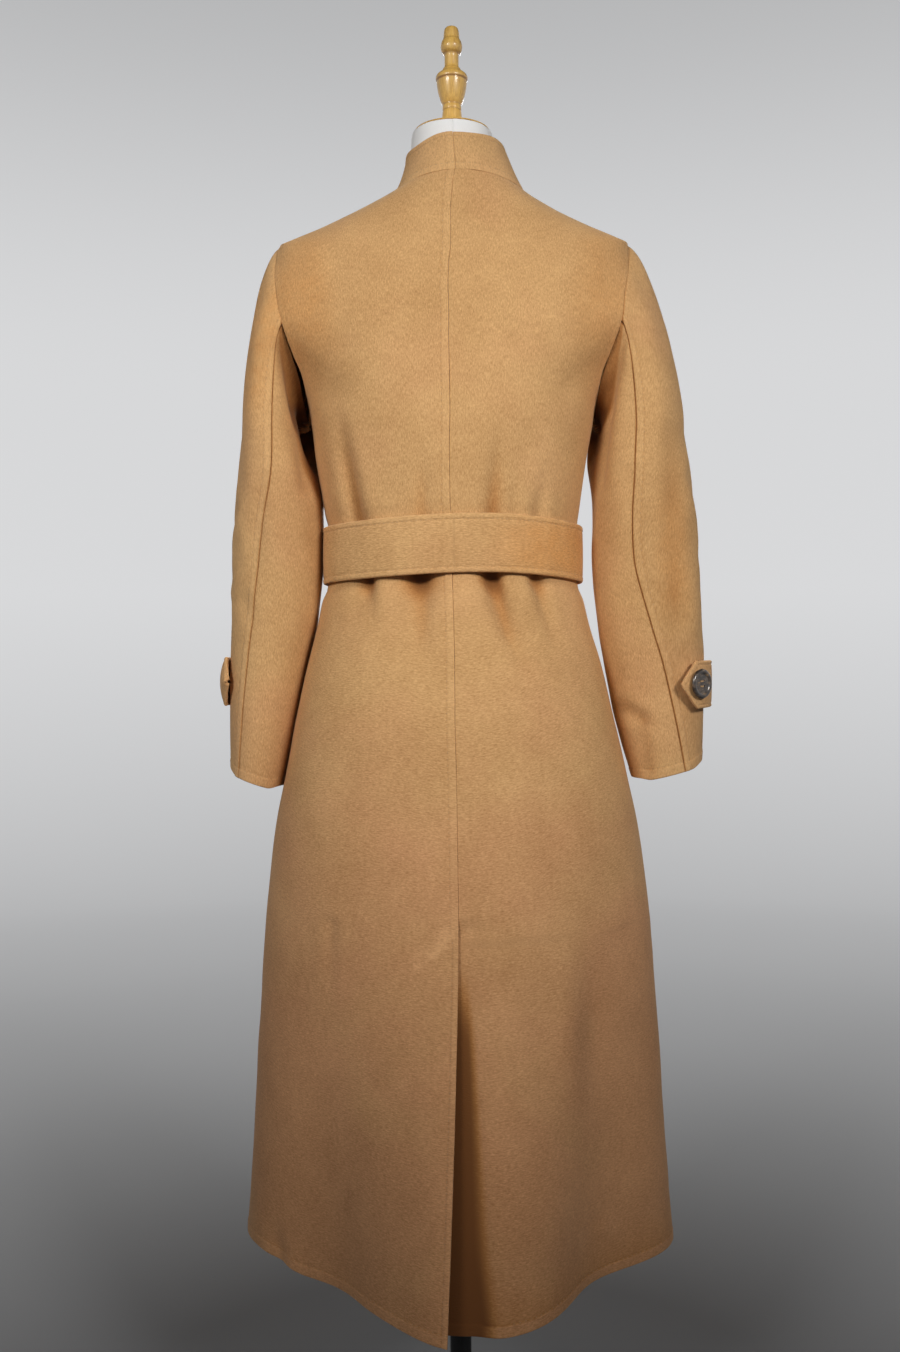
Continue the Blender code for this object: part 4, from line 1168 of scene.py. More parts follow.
@dataclass(frozen=True)
class TurnedWood:
    """Lacquered golden wood: fine upright grain, and red-brown stain left in the grooves."""

    dark: Colour = (0.50, 0.240, 0.040)
    light: Colour = (0.94, 0.585, 0.135)
    stain: Colour = (0.27, 0.100, 0.022)

    def material(self, name: str) -> Material:
        """The finish as a material: stretched noise for grain, the tone attribute for the grooves."""
        nodes = Nodes(name)
        place = nodes.place()
        grain = nodes.noise(nodes.stretch(place, (420.0, 420.0, 30.0)), 1.0, 4.0, 0.6)
        pore = nodes.noise(nodes.stretch(place, (1500.0, 1500.0, 90.0)), 1.0, 2.0)
        wood = nodes.blend((grain - 0.5) * 1.5 + (pore - 0.5) * 0.5 + 0.62, self.dark, self.light)
        groove = (nodes.nap_tone() * -1.0).step(0.15, 0.95)
        return nodes.finish({"Base Color": nodes.blend(groove * 0.7, wood, self.stain),
                             "Roughness": 0.34 + grain * 0.14, "Coat Weight": 0.55, "Coat Roughness": 0.14,
                             "Normal": nodes.bump(grain + pore * 0.4, 0.00025, 0.25)})


@dataclass(frozen=True)
class Horn:
    """Polished dark horn with golden flecks."""

    dark: Colour = (0.022, 0.015, 0.011)
    light: Colour = (0.105, 0.072, 0.050)
    fleck: Colour = (0.44, 0.25, 0.085)

    def material(self, name: str) -> Material:
        """The finish as a material: slanting cloudy streaks with bright flecks in some of them."""
        nodes = Nodes(name)
        place = nodes.place()
        cloud = nodes.noise(nodes.stretch(place, (130.0, 130.0, 240.0)), 1.0, 3.0)
        streak = nodes.noise(nodes.stretch(place, (300.0, 300.0, 900.0)), 1.0, 3.0)
        base = nodes.blend(cloud.step(0.35, 0.7), self.dark, self.light)
        fleck = streak.step(0.56, 0.68) * cloud.step(0.42, 0.6)
        return nodes.finish({"Base Color": nodes.blend(fleck * 0.8, base, self.fleck),
                             "Roughness": 0.24 + cloud * 0.12, "Coat Weight": 0.4, "Coat Roughness": 0.1,
                             "Normal": nodes.bump(streak, 0.0001, 0.2)})


@dataclass(frozen=True)
class BlackMetal:
    """Satin black paint over metal, a little worn."""

    dark: Colour = (0.0035, 0.0035, 0.0038)
    light: Colour = (0.016, 0.016, 0.017)

    def material(self, name: str) -> Material:
        """The finish as a material: orange-peel bump and faint cloudy wear."""
        nodes = Nodes(name)
        place = nodes.place()
        peel = nodes.noise(place, 900.0, 2.0)
        wear = nodes.noise(nodes.stretch(place, (40.0, 40.0, 9.0)), 1.0, 4.0)
        return nodes.finish({"Base Color": nodes.blend(wear.step(0.4, 0.75), self.dark, self.light),
                             "Roughness": 0.36 + wear * 0.2, "Metallic": 0.35,
                             "Normal": nodes.bump(peel, 0.0001, 0.3)})


@dataclass(frozen=True)
class Paper:
    """The plain pale backdrop, glowing with painted light, the same all round, from its far floor to the upper
    wall.

    Attributes:
        start: How far out the floor begins to glow, which grows by slope for each metre out and up.
        steps: Where else the glow grows or falls, as start, end and change.
        dim: Where the upper wall's painted light darkens, as start and end heights and change.
    """

    colour: Colour = (0.26, 0.263, 0.270)
    # The colour of the painted light that the backdrop glows with.
    lit: Colour = (0.66, 0.665, 0.675)
    glow: float = 0.985
    start: float = 0.6
    slope: float = 0.150
    steps: tuple[tuple[float, float, float], ...] = ((-0.4, 0.5, 0.085), (0.2, 1.3, 0.070), (2.0, 3.2, -0.042))
    dim: tuple[float, float, float] = (2.3, 4.9, -0.36)

    def material(self, name: str) -> Material:
        """The finish as a material: matt, and glowing with painted light by its distance from the middle and its
        height.
        """
        nodes = Nodes(name)
        x, y, z = nodes.split(nodes.place())
        square = x * x + y * y
        rise = square.math("SQRT", square) + z - self.start
        share = rise * self.slope
        for low, high, change in self.steps:
            share = share + rise.step(low, high) * change
        share = share.math("MINIMUM", share, 1.0) + z.step(*self.dim[:2]) * self.dim[2]
        glow = nodes.blend(share, (0.0, 0.0, 0.0), self.lit)
        cloud = nodes.noise(nodes.place(), 1.3, 2.0)
        pale = tuple(min(1.0, part * 1.05) for part in self.colour)
        return nodes.finish({"Base Color": nodes.blend(cloud, self.colour, pale), "Roughness": 0.95,
                             "Emission Color": glow, "Emission Strength": self.glow})


@dataclass
class Finishes:
    """Every finish of the part, each made once."""

    body: Material
    marked: Material
    sleeve: Material
    belt: Material
    thread: Material
    cover: Material
    wood: Material
    horn: Material
    metal: Material

    @classmethod
    def make(cls) -> "Finishes":
        """Make the finishes: worn beside the vent's top, a streak of painted shade low on the left skirt, the
        nap brushed the warm way on the belt and the sleeves, and painted light warming the shoulders.
        """
        wear_and_shade = (Mark((0.004, 0.646), (0.052, 0.604), 0.011, 0.42),
                  Mark((0.012, 0.630), (0.030, 0.612), 0.006, 0.26),
                  # A streak of painted shade: a slight crease low on the left skirt.
                  Mark((0.113, 0.372), (0.118, 0.340), 0.007, -0.22))
        brushed = (Mark((-0.066, 1.036), (-0.180, 1.036), 0.050, 1.05, 0.25),)
        turned = (Mark((0.204, 1.335), (0.236, 1.190), 0.040, 0.60, 0.45),
                  Mark((-0.236, 1.085), (-0.246, 0.965), 0.030, 0.45, 0.5))
        # Painted light: a warmer tint on the shoulders, where they turn from the lamps.
        shoulders = (Mark((0.178, 1.375), (0.160, 1.235), 0.055, 0.60, 0.3),
                     Mark((-0.178, 1.375), (-0.160, 1.235), 0.055, 0.45, 0.3))
        return cls(
            body=Wool().material("wool_body", Nap.BODY, warm=shoulders),
            marked=Wool().material("wool_back_left", Nap.BODY, wear_and_shade, shoulders),
            sleeve=Wool().material("wool_sleeve", Nap.DOWN, warm=turned),
            belt=Wool().material("wool_belt", Nap.ROUND, warm=brushed),
            thread=Thread().material("thread"),
            cover=Jersey().material("white_knit"),
            wood=TurnedWood().material("lacquered_wood"),
            horn=Horn().material("dark_horn"),
            metal=BlackMetal().material("black_metal"),
        )


# Folds of the back, the fronts and the sleeves.  Where a fold has a shade, it paints shade into its trough, and
# a painted highlight onto a ridge whose depth is negative.
BACK_FOLDS = (
    Fold(((0.105, 1.066), (0.119, 1.139), (0.1265, 1.195)), (0.0062, 0.0042, 0.0), 0.0075, shade=1.4),
    Fold(((0.0128, 1.352), (0.0122, 1.338), (0.0113, 1.318)), (0.0, 0.001, 0.0), 0.0016, shade=1.6),
    Fold(((-0.061, 1.07), (-0.065, 1.125)), (0.0018, 0.0), 0.0055, shade=0.7),
    Fold(((0.1, 1.068), (0.092, 1.1), (0.088, 1.13)), (-0.0014, -0.001, 0.0), 0.01),
    Fold(((0.0355, 1.068), (0.035, 1.16)), (0.0026, 0.0), 0.007, shade=0.7),
    Fold(((-0.0405, 1.068), (-0.049, 1.182)), (0.0034, 0.0), 0.007, shade=1.0),
    Fold(((-0.088, 1.068), (-0.099, 1.135)), (0.0024, 0.0), 0.0065, shade=0.8),
    Fold(((-0.086, 1.072), (-0.093, 1.12), (-0.105, 1.17)), (-0.0016, -0.0016, 0.0), 0.015, shade=1.3),
    Fold(((0.092, 1.008), (0.09, 0.945)), (0.0032, 0.0), 0.006, shade=1.4),
    Fold(((0.038, 1.008), (0.036, 0.95), (0.034, 0.89)), (0.0036, 0.0022, 0.0), 0.009, shade=1.2),
    Fold(((-0.039, 1.008), (-0.055, 0.946), (-0.079, 0.89)), (0.005, 0.0032, 0.0), 0.0066, shade=1.5),
    Fold(((-0.087, 1.008), (-0.108, 0.925)), (0.0032, 0.0), 0.006, shade=1.0),
    Fold(((-0.0045, 1.4475), (-0.013, 1.447), (-0.0215, 1.4455)), (0.0004, 0.0016, 0.0), 0.0026),
    Fold(((-0.109, 0.64), (-0.111, 0.54), (-0.114, 0.44)), (0.0, -0.003, 0.0), 0.017),
    Fold(((-0.137, 0.62), (-0.14, 0.52), (-0.144, 0.43)), (0.0, 0.0022, 0.0), 0.014),
    Fold(((0.134, 0.64), (0.135, 0.54)), (0.0016, 0.0), 0.0065),
    Fold(((0.204, 0.312), (0.196, 0.27)), (0.0, 0.0034), 0.008),
    Fold(((-0.152, 0.312), (-0.18, 0.276)), (-0.002, -0.0006), 0.008),
    Fold(((0.162, 1.238), (0.128, 1.205), (0.095, 1.19)), (0.002, 0.0014, 0.0), 0.012),
    Fold(((-0.158, 1.24), (-0.126, 1.214), (-0.1, 1.204)), (0.0018, 0.0012, 0.0), 0.012),
    Fold(((0.17, 1.33), (0.15, 1.29), (0.143, 1.24)), (0.0012, 0.0012, 0.0), 0.014),
    Fold(((-0.17, 1.33), (-0.152, 1.28), (-0.144, 1.225)), (0.0012, 0.0012, 0.0), 0.015),
)
FRONT_FOLDS = tuple(Fold(*row[:3], Seen.FRONT, shade=row[3]) for row in (
    (((0.072, 1.068), (0.082, 1.13), (0.1, 1.2)), (0.0054, 0.0033, 0.0), 0.009, 1.6),
    (((0.026, 1.068), (0.033, 1.12)), (0.0036, 0.0), 0.008, 1.2),
    (((-0.052, 1.068), (-0.061, 1.13), (-0.077, 1.21)), (0.0051, 0.0033, 0.0), 0.01, 1.5),
    (((-0.098, 1.068), (-0.108, 1.13)), (0.0033, 0.0), 0.008, 1.1),
    (((0.048, 1.008), (0.056, 0.93), (0.064, 0.84)), (0.006, 0.0045, 0.0), 0.01, 1.5),
    (((0.093, 1.008), (0.102, 0.94)), (0.0042, 0.0), 0.008, 1.2),
    (((-0.046, 1.008), (-0.052, 0.93), (-0.064, 0.85)), (0.0057, 0.0036, 0.0), 0.009, 1.4),
    (((-0.098, 1.008), (-0.109, 0.93)), (0.0039, 0.0), 0.0075, 1.1),
    (((0.09, 0.66), (0.096, 0.54), (0.104, 0.42)), (0.0, 0.0045, 0.0), 0.018, 0.8),
    (((-0.106, 0.62), (-0.112, 0.5), (-0.122, 0.4)), (0.0, 0.0048, 0.0), 0.018, 0.9),
    (((0.158, 1.25), (0.125, 1.215), (0.1, 1.2)), (0.0033, 0.0021, 0.0), 0.012, 1.0),
    (((-0.158, 1.25), (-0.126, 1.22), (-0.098, 1.21)), (0.003, 0.0021, 0.0), 0.012, 1.0),
))
SLEEVE_FOLDS = {
    1: (
        Fold(((0.186, 1.276), (0.173, 1.222), (0.164, 1.17), (0.159, 1.11)), (0.004, 0.016, 0.018, 0.006),
             0.0095, shoulder=0.1),
        Fold(((0.215, 1.29), (0.222, 1.18), (0.226, 1.06)), (-0.001, -0.0018, 0.0), 0.012),
        Fold(((0.208, 1.14), (0.216, 1.06), (0.226, 0.99)), (0.0, 0.0026, 0.0), 0.009),
        Fold(((0.236, 0.985), (0.22, 0.95)), (0.002, 0.0), 0.008),
        Fold(((-0.045, 1.06), (-0.012, 1.02), (0.026, 1.004)), (0.0024, 0.002, 0.0), 0.009, Seen.LEFT),
        Fold(((0.032, 1.09), (0.006, 1.062), (-0.02, 1.055)), (0.002, 0.0012, 0.0), 0.008, Seen.LEFT),
        Fold(((-0.035, 1.26), (-0.018, 1.19), (-0.012, 1.11)), (0.0018, 0.0022, 0.0), 0.012, Seen.LEFT),
        Fold(((0.01, 0.98), (0.018, 0.93)), (0.0018, 0.0), 0.0085, Seen.LEFT),
        Fold(((0.202, 1.09), (0.216, 1.03), (0.223, 0.96)), (0.0024, 0.002, 0.0), 0.009, Seen.FRONT),
    ),
    -1: (
        Fold(((-0.183, 1.27), (-0.17, 1.218), (-0.162, 1.17), (-0.159, 1.11)), (0.003, 0.012, 0.014, 0.006),
             0.008, shoulder=0.1),
        Fold(((-0.214, 1.3), (-0.221, 1.18), (-0.224, 1.05)), (-0.0008, -0.002, 0.0), 0.011),
        Fold(((-0.236, 1.19), (-0.24, 1.1), (-0.243, 0.98)), (0.0, 0.005, 0.0), 0.018, shade=1.2),
        Fold(((-0.19, 1.12), (-0.201, 1.04)), (0.0018, 0.0), 0.008),
        Fold(((-0.186, 0.863), (-0.205, 0.853), (-0.226, 0.842)), (0.0034, 0.0036, 0.0), 0.0062, shade=1.5),
        Fold(((-0.205, 0.846), (-0.213, 0.792)), (0.0022, 0.0018), 0.0068, shade=1.1),
        Fold(((-0.238, 1.06), (-0.244, 0.99), (-0.239, 0.93)), (0.0, 0.003, 0.0), 0.01, shade=0.9),
        Fold(((-0.256, 0.975), (-0.238, 0.935)), (0.0018, 0.0), 0.008),
        Fold(((-0.043, 1.075), (-0.01, 1.04), (0.024, 1.028)), (0.0026, 0.002, 0.0), 0.009, Seen.RIGHT),
        Fold(((0.03, 1.12), (0.008, 1.09), (-0.018, 1.085)), (0.0018, 0.0012, 0.0), 0.008, Seen.RIGHT),
        Fold(((-0.033, 1.25), (-0.017, 1.18), (-0.01, 1.11)), (0.0018, 0.002, 0.0), 0.012, Seen.RIGHT),
        Fold(((-0.206, 1.09), (-0.222, 1.03), (-0.23, 0.96)), (0.0024, 0.002, 0.0), 0.009, Seen.FRONT),
    ),
}


@dataclass
class Backs:
    """The two back halves, felled together down the centre as far as the vent.

    Attributes:
        sunk: How far the edges are rolled down; seam_sunk is the centre's above the vent.
        gather_shade: How dark the painted shade lies in the gathers below and above the belt, by their depth.
        hem_shade: How dark the painted shade on the left and the right half grows towards the hem.
        lapped: Where the right hem comes out from under the vent's flap.
    """

    columns: int = 62
    uneven: float = 0.0009
    edges: tuple[float, ...] = (0.0012, 0.0014, 0.0016, 0.0014)
    sunk: tuple[float, ...] = (0.42, 0.12, 0.42, 0.08)
    seam_sunk: float = 0.12
    gather_shade: tuple[float, float] = (240.0, 80.0)
    hem_shade: tuple[float, float] = (0.9, 1.7)
    side_shade: float = 3.4
    vent_shade: float = 4.7
    first_stitch: float = 0.275
    lapped: float = -0.045

    def build(self, finishes: Finishes, stitching: Stitching) -> None:
        """Build both halves with their seams, hems and the vent's edges."""
        for hand, side in SIDES:
            body = Body(side, False)
            top = body.vent.top
            rows = body_rows(top + np.arange(-0.015, 0.026, 0.0018))
            edges = body.centre_angle(rows), body.seam_angle(rows)
            at, angle = spread_columns(body.point, rows, *edges, self.columns)
            face = body.point(at, angle)
            closed = ramp(face[..., 2], top - 0.003, top + 0.003)
            centre = self.sunk[0] + (self.seam_sunk - self.sunk[0]) * closed
            cloth = Cloth(face, side, SEW.cloth, self.edges, (centre, *self.sunk[1:]))
            cloth.fold(BACK_FOLDS)
            cloth.ease(self.uneven, 0.075, 11 + side)
            cloth.sew(cloth.last, SEW.felled, 0.55 * armhole_share(at))
            cloth.sew(cloth.low, SEW.hem)
            height = cloth.face[..., 2]
            # Painted shade in the belt's gathers and towards the hem.
            below, above = self.gather_shade
            dark = below * ramp(height, 0.976, 1.006) + above * ramp(height, 1.16, 1.07)
            cloth.tone -= dark * gather_depth(side * np.degrees(angle), face[..., 2])
            cloth.tone -= self.hem_shade[int(side < 0)] * ramp(height, 0.36, 0.25)
            if side > 0:
                self.sew_centre(cloth, closed, top, stitching)
            else:
                self.shade_right(cloth, body.vent)
            line, facing = cloth.hem_line(step_at(SEW.hem))
            in_sight = slice(None) if side > 0 else line[:, 0] < self.lapped
            stitching.sew((line[in_sight], facing[in_sight]), SEW.hem_pitch)
            finish = finishes.marked if side > 0 else finishes.body
            hang(cloth, f"back_{hand}", finish, Held.GATHERED)

    def sew_centre(self, cloth: Cloth, closed: Array, top: float, stitching: Stitching) -> None:
        """Fell the left half's centre seam, and stitch the flap's edge below the vent's top."""
        cloth.sew(cloth.first, SEW.felled, closed)
        cloth.sew(cloth.first, SEW.edge, 1 - closed)
        height = cloth.face[:, 0, 2]
        flap = slice(int(np.argmax(height > self.first_stitch)), int(np.argmax(height > top)))
        stitching.sew(cloth.seam_line(step_at(SEW.edge), flap))
        stitching.sew(cloth.seam_line(step_at(SEW.felled), slice(flap.stop, None)), SEW.felled_pitch)

    def shade_right(self, cloth: Cloth, vent: Vent) -> None:
        """Paint shade into the right half beside its sleeve and, widening to the hem, a painted shadow of the
        vent's flap beside it.
        """
        height = cloth.face[..., 2]
        strip = 0.0085 * ramp(height, 1.055, 1.14)
        beside = ramp(cloth.last, strip + 0.003, strip) * ramp(height, 1.06, 1.09) * ramp(height, 1.24, 1.19)
        cloth.tone -= self.side_shade * beside
        share = vent.share(height)
        past = vent.swing * share ** vent.swing_power - cloth.face[..., 0]
        faded = 1 - ramp((past - 0.002 - 0.022 * share) / (0.010 + 0.020 * share), 0.0, 1.0)
        cloth.tone -= self.vent_shade * ramp(share, 0.0, 0.3) * faded


@dataclass
class Fronts:
    """The two wrap fronts, the right one over the left one, which only shares the folds well above the belt."""

    columns: int = 74
    uneven: float = 0.0008
    edges: tuple[float, ...] = (0.0014, 0.0016, 0.0016, 0.0014)
    sunk: tuple[float, ...] = (0.12, 0.42, 0.42, 0.08)
    above_belt: float = 0.1

    def build(self, finishes: Finishes, stitching: Stitching) -> None:
        """Build both fronts with their hems and stitched free edges."""
        for hand, side in SIDES:
            body = Body(side, True)
            rows = body_rows()
            edges = body.seam_angle(rows), body.centre_angle(rows)
            at, angle = spread_columns(body.point, rows, *edges, self.columns)
            cloth = Cloth(body.point(at, angle), side, SEW.cloth, self.edges, self.sunk)
            if side < 0:
                cloth.fold(FRONT_FOLDS)
                cloth.ease(self.uneven, 0.075, 23)
            else:
                cloth.fold([fold for fold in FRONT_FOLDS if fold.path[0][1] > WAIST.high + self.above_belt])
            cloth.sew(cloth.first, SEW.felled, 0.55 * armhole_share(at))
            cloth.sew(cloth.low, SEW.hem)
            cloth.sew(cloth.last, SEW.edge)
            stitching.sew(cloth.seam_line(-1 - step_at(SEW.edge), slice(len(EDGE_STEPS) - 2, -6)))
            stitching.sew(cloth.hem_line(step_at(SEW.hem)), SEW.hem_pitch)
            hang(cloth, f"front_{hand}", finishes.body, Held.GATHERED)


@dataclass
class Collar:
    """The standing collar in two halves, seamed at the centre back.

    Attributes:
        bow: How far it bows out at the back; bow_left and bow_right are its sides'.
        drop_left: How far its left upper edge drops; drop_right is the right one's.
        seam: How far aside the centre seam lies at the neck and at the upper edge.
    """

    tall: float = 0.052
    bow: float = 0.0020
    bow_left: float = -0.0030
    bow_right: float = -0.0005
    drop_left: float = 0.0075
    drop_right: float = -0.0020
    tone: float = 1.3
    start: float = 0.004
    seam: tuple[float, float] = (0.0040, 0.0026)
    neck_pitch: float = 0.0062
    columns: int = 56

    def half(self, side: int) -> Surface:
        """One half's surface by rise and sweep: straight from the neck to the upper edge, a little bowed."""
        ends = np.array([BODY["neck"], COLLAR_EDGE], dtype=float)
        drop, bow_at_side = (self.drop_left, self.bow_left) if side > 0 else (self.drop_right, self.bow_right)

        def point(rise: Array, share: Array) -> Array:
            """Points by share of the collar's height and of its sweep round the neck."""
            level = Level(*np.moveaxis(ends[0] + (ends[1] - ends[0]) * rise[..., None], -1, 0))
            centre = self.seam[0] + (self.seam[1] - self.seam[0]) * rise
            first = (SEW.gap / 2 + side * centre) / level.half_width
            sweep = first + (math.pi - np.radians(level.lap) - first) * share
            bow = 4 * rise * (1 - rise) * (self.bow + (bow_at_side - self.bow) * ramp(np.sin(sweep), 0.1, 0.9))
            back = np.cos(sweep) > 0
            depth = np.where(back, level.back_depth, level.front_depth) + bow
            middle = np.where(back, level.back_z, level.front_z)
            x = level.shift + side * (level.half_width + bow) * np.sin(sweep)
            z = level.side_z + (middle - level.side_z) * np.cos(sweep) ** 2
            z = z - drop * rise * ramp(np.sin(sweep), 0.2, 0.9)
            return joined(x, depth * np.cos(sweep), z)

        return point

    def build(self, finishes: Finishes, stitching: Stitching) -> None:
        """Build both halves with a felled neck seam and a stitched upper edge."""
        steps = EDGE_STEPS / self.tall
        rows = np.concatenate([steps, np.linspace(steps[-1], 1 - steps[-1], 8)[1:-1], 1 - steps[::-1]])
        rows = self.start + (1 - self.start) * rows
        for hand, side in SIDES:
            surface = self.half(side)
            at, share = spread_columns(surface, rows, 0.0, 1.0, self.columns)
            cloth = Cloth(surface(at, share), side, SEW.cloth, (0.0012, 0.0016, 0.0014, 0.0016),
                          (0.16, 0.42, 0.06, 0.42))
            cloth.tone += self.tone
            cloth.ease(0.0007, 0.040, 31 + side)
            cloth.sew(cloth.low, SEW.felled, 0.6)
            cloth.sew(cloth.high, SEW.edge, 0.6)
            cloth.sew(cloth.last, SEW.edge, 0.8)
            if side > 0:
                cloth.sew(cloth.first, SEW.felled, 0.8)
            stitching.sew(cloth.hem_line(-1 - step_at(SEW.edge)))
            stitching.sew(cloth.hem_line(step_at(SEW.felled)), self.neck_pitch)
            hang(cloth, f"collar_{hand}", finishes.sleeve, Held.FOLDED)


@dataclass
class Sleeve:
    """One sleeve: a cap from the armhole to the bicep, then a tube to the cuff, in two pieces.

    Attributes:
        press: How far the underarm's front bulges towards the body.
        tones: How light the nap lies on the top and under pieces.
        shadow: How far the painted shade under the arm reaches from the body, at SHADOW_HEIGHTS.
        bulge: The angle and the height of that bulge.
        cap_out: How steeply the cap leaves the armhole outwards; cap_back and cap_down likewise.
        pit: The height of the darkest painted shade under the arm, and how far it reaches.
        dark: How dark the painted shade under the arm lies, and how much more in the pit.
    """

    name: str
    side: int
    levels: Sequence[SleeveLevel]
    press: float
    tones: tuple[float, float]
    shadow: Sequence[float]
    front_seam: float = 80.0
    bulge: tuple[float, float] = (212.0, 1.158)
    bulge_reach: tuple[float, float] = (24.0, 0.048)
    seam: float = 0.0002
    trim: float = 0.0004
    cap_out: float = 0.60
    cap_out_at_top: float = 0.312
    cap_back: float = 0.18
    cap_down: float = 0.62
    cap_down_at_top: float = -0.21
    cap_start: float = 0.35
    corner: float = 0.0050
    pit: tuple[float, float] = (1.184, 0.015)
    dark: tuple[float, float] = (2.9, 4.5)
    seam_shade: float = 3.6
    edges: tuple[float, ...] = (0.0012, 0.0012, 0.0014, 0.0016)
    sunk: tuple[float, ...] = (0.16, 0.16, 0.10, 0.42)
    columns: int = 41

    def __post_init__(self) -> None:
        """Read the levels as a table."""
        self.table = np.array(self.levels, dtype=float)

    def tube(self, number: Array, angle: Array, grow: Array | float = 0.0) -> Array:
        """Points of the tube by degrees from its outer side to the back: ellipses, with the underarm's bulge."""
        level = SleeveLevel(*np.moveaxis(along(self.table, number), -1, 0))
        cosine, sine = np.cos(np.radians(angle)), np.sin(np.radians(angle))
        bulge = bell(angle % 360 - self.bulge[0], self.bulge_reach[0]) \
            * bell(level.height - self.bulge[1], self.bulge_reach[1])
        middle, half = (level.outer + level.inner) / 2, (level.outer - level.inner) / 2
        x = middle + (half + grow) * cosine - self.press * bulge
        y = level.middle_y + (level.half_depth + grow) * sine
        return joined(self.side * x, y, level.height + level.tilt / 2 * cosine)

    def tube_angle(self, number: Array, turn: Array) -> Array:
        """Degrees round the tube for turns of 0 shoulder, 1/4 back seam, 1/2 underarm, 3/4 front seam."""
        seam = along(self.table, number)[..., -1]
        quarter = turn % 1.0 * 4
        knots = (0 * seam, seam, 0 * seam + 180, 0 * seam + 360 - self.front_seam, 0 * seam + 360)
        low = np.clip(np.floor(quarter).astype(int), 0, 3)
        start, end = np.choose(low, knots[:-1]), np.choose(low, knots[1:])
        return start + (end - start) * (quarter - low)

    def armhole(self, turn: Array) -> Array:
        """Points of the armhole: down the back from the shoulder, then up the front."""
        turn = turn % 1.0
        at = ROW["underarm"] + np.abs(1 - 2 * turn) * (ROW["shoulder"] - ROW["underarm"])
        edges = [body.point(at, body.edge_angle(body.level(at)))
                 for body in (Body(self.side, False), Body(self.side, True))]
        return np.where((turn <= 0.5)[..., None], edges[0], edges[1])

    def surface(self, at: Array, turn: Array) -> Array:
        """Points by row and turn: a cubic from the armhole's own way out to the tube's, then the tube."""
        number = np.clip(at - 1, 0, None)
        angle = self.tube_angle(number, turn)
        top = ((1 + np.cos(2 * math.pi * turn)) / 2) ** 2
        leave = joined(self.side * (self.cap_out + self.cap_out_at_top * top),
                       self.cap_back * np.sin(2 * math.pi * turn),
                       -(self.cap_down + self.cap_down_at_top * top))
        start = self.armhole(turn) + leave * self.seam
        end = self.tube(np.zeros_like(at), self.tube_angle(np.zeros_like(at), turn))
        length = np.linalg.norm(end - start, axis=-1, keepdims=True)
        share = np.clip(at, 0, 1)[..., None]
        rest = 1 - share
        cap = ((1 + 2 * share) * rest ** 2 * start + share * rest ** 2 * leave * length * self.cap_start
               + share ** 2 * (3 - 2 * share) * end + share ** 2 * rest * length * UP)
        corner = np.clip(at - len(self.levels) + 1, 0, 1) ** 3 * self.corner
        lifted = corner * ramp(np.abs(np.cos(np.radians(angle))), 0.55, 1.0)
        return np.where((at < 1)[..., None], cap, self.tube(number, angle) + lifted[..., None] * UP)

    def row_at_height(self, height: Array) -> Array:
        """The tube's row number at heights below the bicep."""
        return np.interp(-height, -self.table[:, 0], np.arange(len(self.table)))

    def underarm_shade(self, cloth: Cloth) -> Array:
        """How dark the painted shade lies under the arm: near the body's own edge, on cloth that faces back."""
        height = cloth.face[..., 2]
        body = BODY_TABLE[:ROW["slope_1"]]
        edge = np.interp(height, body[:, 1], body[:, 3] + self.side * body[:, 4])
        reach = np.maximum(np.interp(height, SHADOW_HEIGHTS, self.shadow), 1e-4)
        near = 1 - ramp((np.abs(cloth.face[..., 0]) - edge) / reach, 0.55, 1.05)
        pit = bell(height - self.pit[0], self.pit[1])
        _, back, up = np.moveaxis(cloth.normals(), -1, 0)
        low = SHADOW_HEIGHTS[0]
        shown = ramp(height, low, low + 0.03) * ramp(back + 0.6 * up, -0.1, 0.2)
        return (self.dark[0] + self.dark[1] * pit) * near * shown * (0.3 + 0.7 * ramp(height, 1.32, 1.28))

    def build(self, finishes: Finishes, stitching: Stitching) -> None:
        """Build the top and under pieces with the back seam's felled band and the cuff's hem."""
        last = len(self.levels)
        cap = np.concatenate([[0, 0.003, 0.007, 0.013, 0.022, 0.034, 0.05], np.linspace(0.07, 1, 38)])
        near_cuff = last - EDGE_STEPS[::-1] / (self.table[-2, 0] - self.table[-1, 0])
        tube = np.arange(1, near_cuff[0], 0.105)[1:]
        rows = np.concatenate([cap, tube, near_cuff])
        for half, first, end, tone in (("top", -0.25, 0.25, self.tones[0]),
                                       ("under", 0.25, 0.75, self.tones[1])):
            at, turn = spread_columns(self.surface, rows, first + self.trim, end - self.trim, self.columns)
            cloth = Cloth(self.surface(at, turn), self.side, SEW.cloth, self.edges, self.sunk)
            # The piece's own nap tone, less the painted shade under the arm.
            cloth.tone += tone - self.underarm_shade(cloth)
            cloth.fold(SLEEVE_FOLDS[self.side])
            cloth.ease(0.0008, 0.060, 41 + self.side)
            cloth.sew(cloth.high, SEW.hem)
            back_seam = cloth.last if half == "top" else cloth.first
            cloth.tone -= self.seam_shade * bell(back_seam, 0.0012)
            if half == "top":
                cloth.sew(cloth.last, SEW.felled)
                stitching.sew(cloth.seam_line(-1 - step_at(SEW.felled), slice(6, -12)), SEW.felled_pitch)
            stitching.sew(cloth.hem_line(-1 - step_at(SEW.hem)), SEW.hem_pitch)
            hang(cloth, f"sleeve_{half}_{self.name}", finishes.sleeve, Held.HUNG)


class Turn(NamedTuple):
    """A point of a turned profile: radius, height and the stain left there."""

    radius: float
    height: float
    stain: float = 0.0


def turned(*rows: tuple[float, ...], fine: int = 1) -> Array:
    """A profile's rows of radius, height and stain, made finer by the monotone cubic through them."""
    table = np.array([Turn(*row) for row in rows], dtype=float)
    return along(table, np.linspace(0, len(table) - 1, (len(table) - 1) * fine + 1))


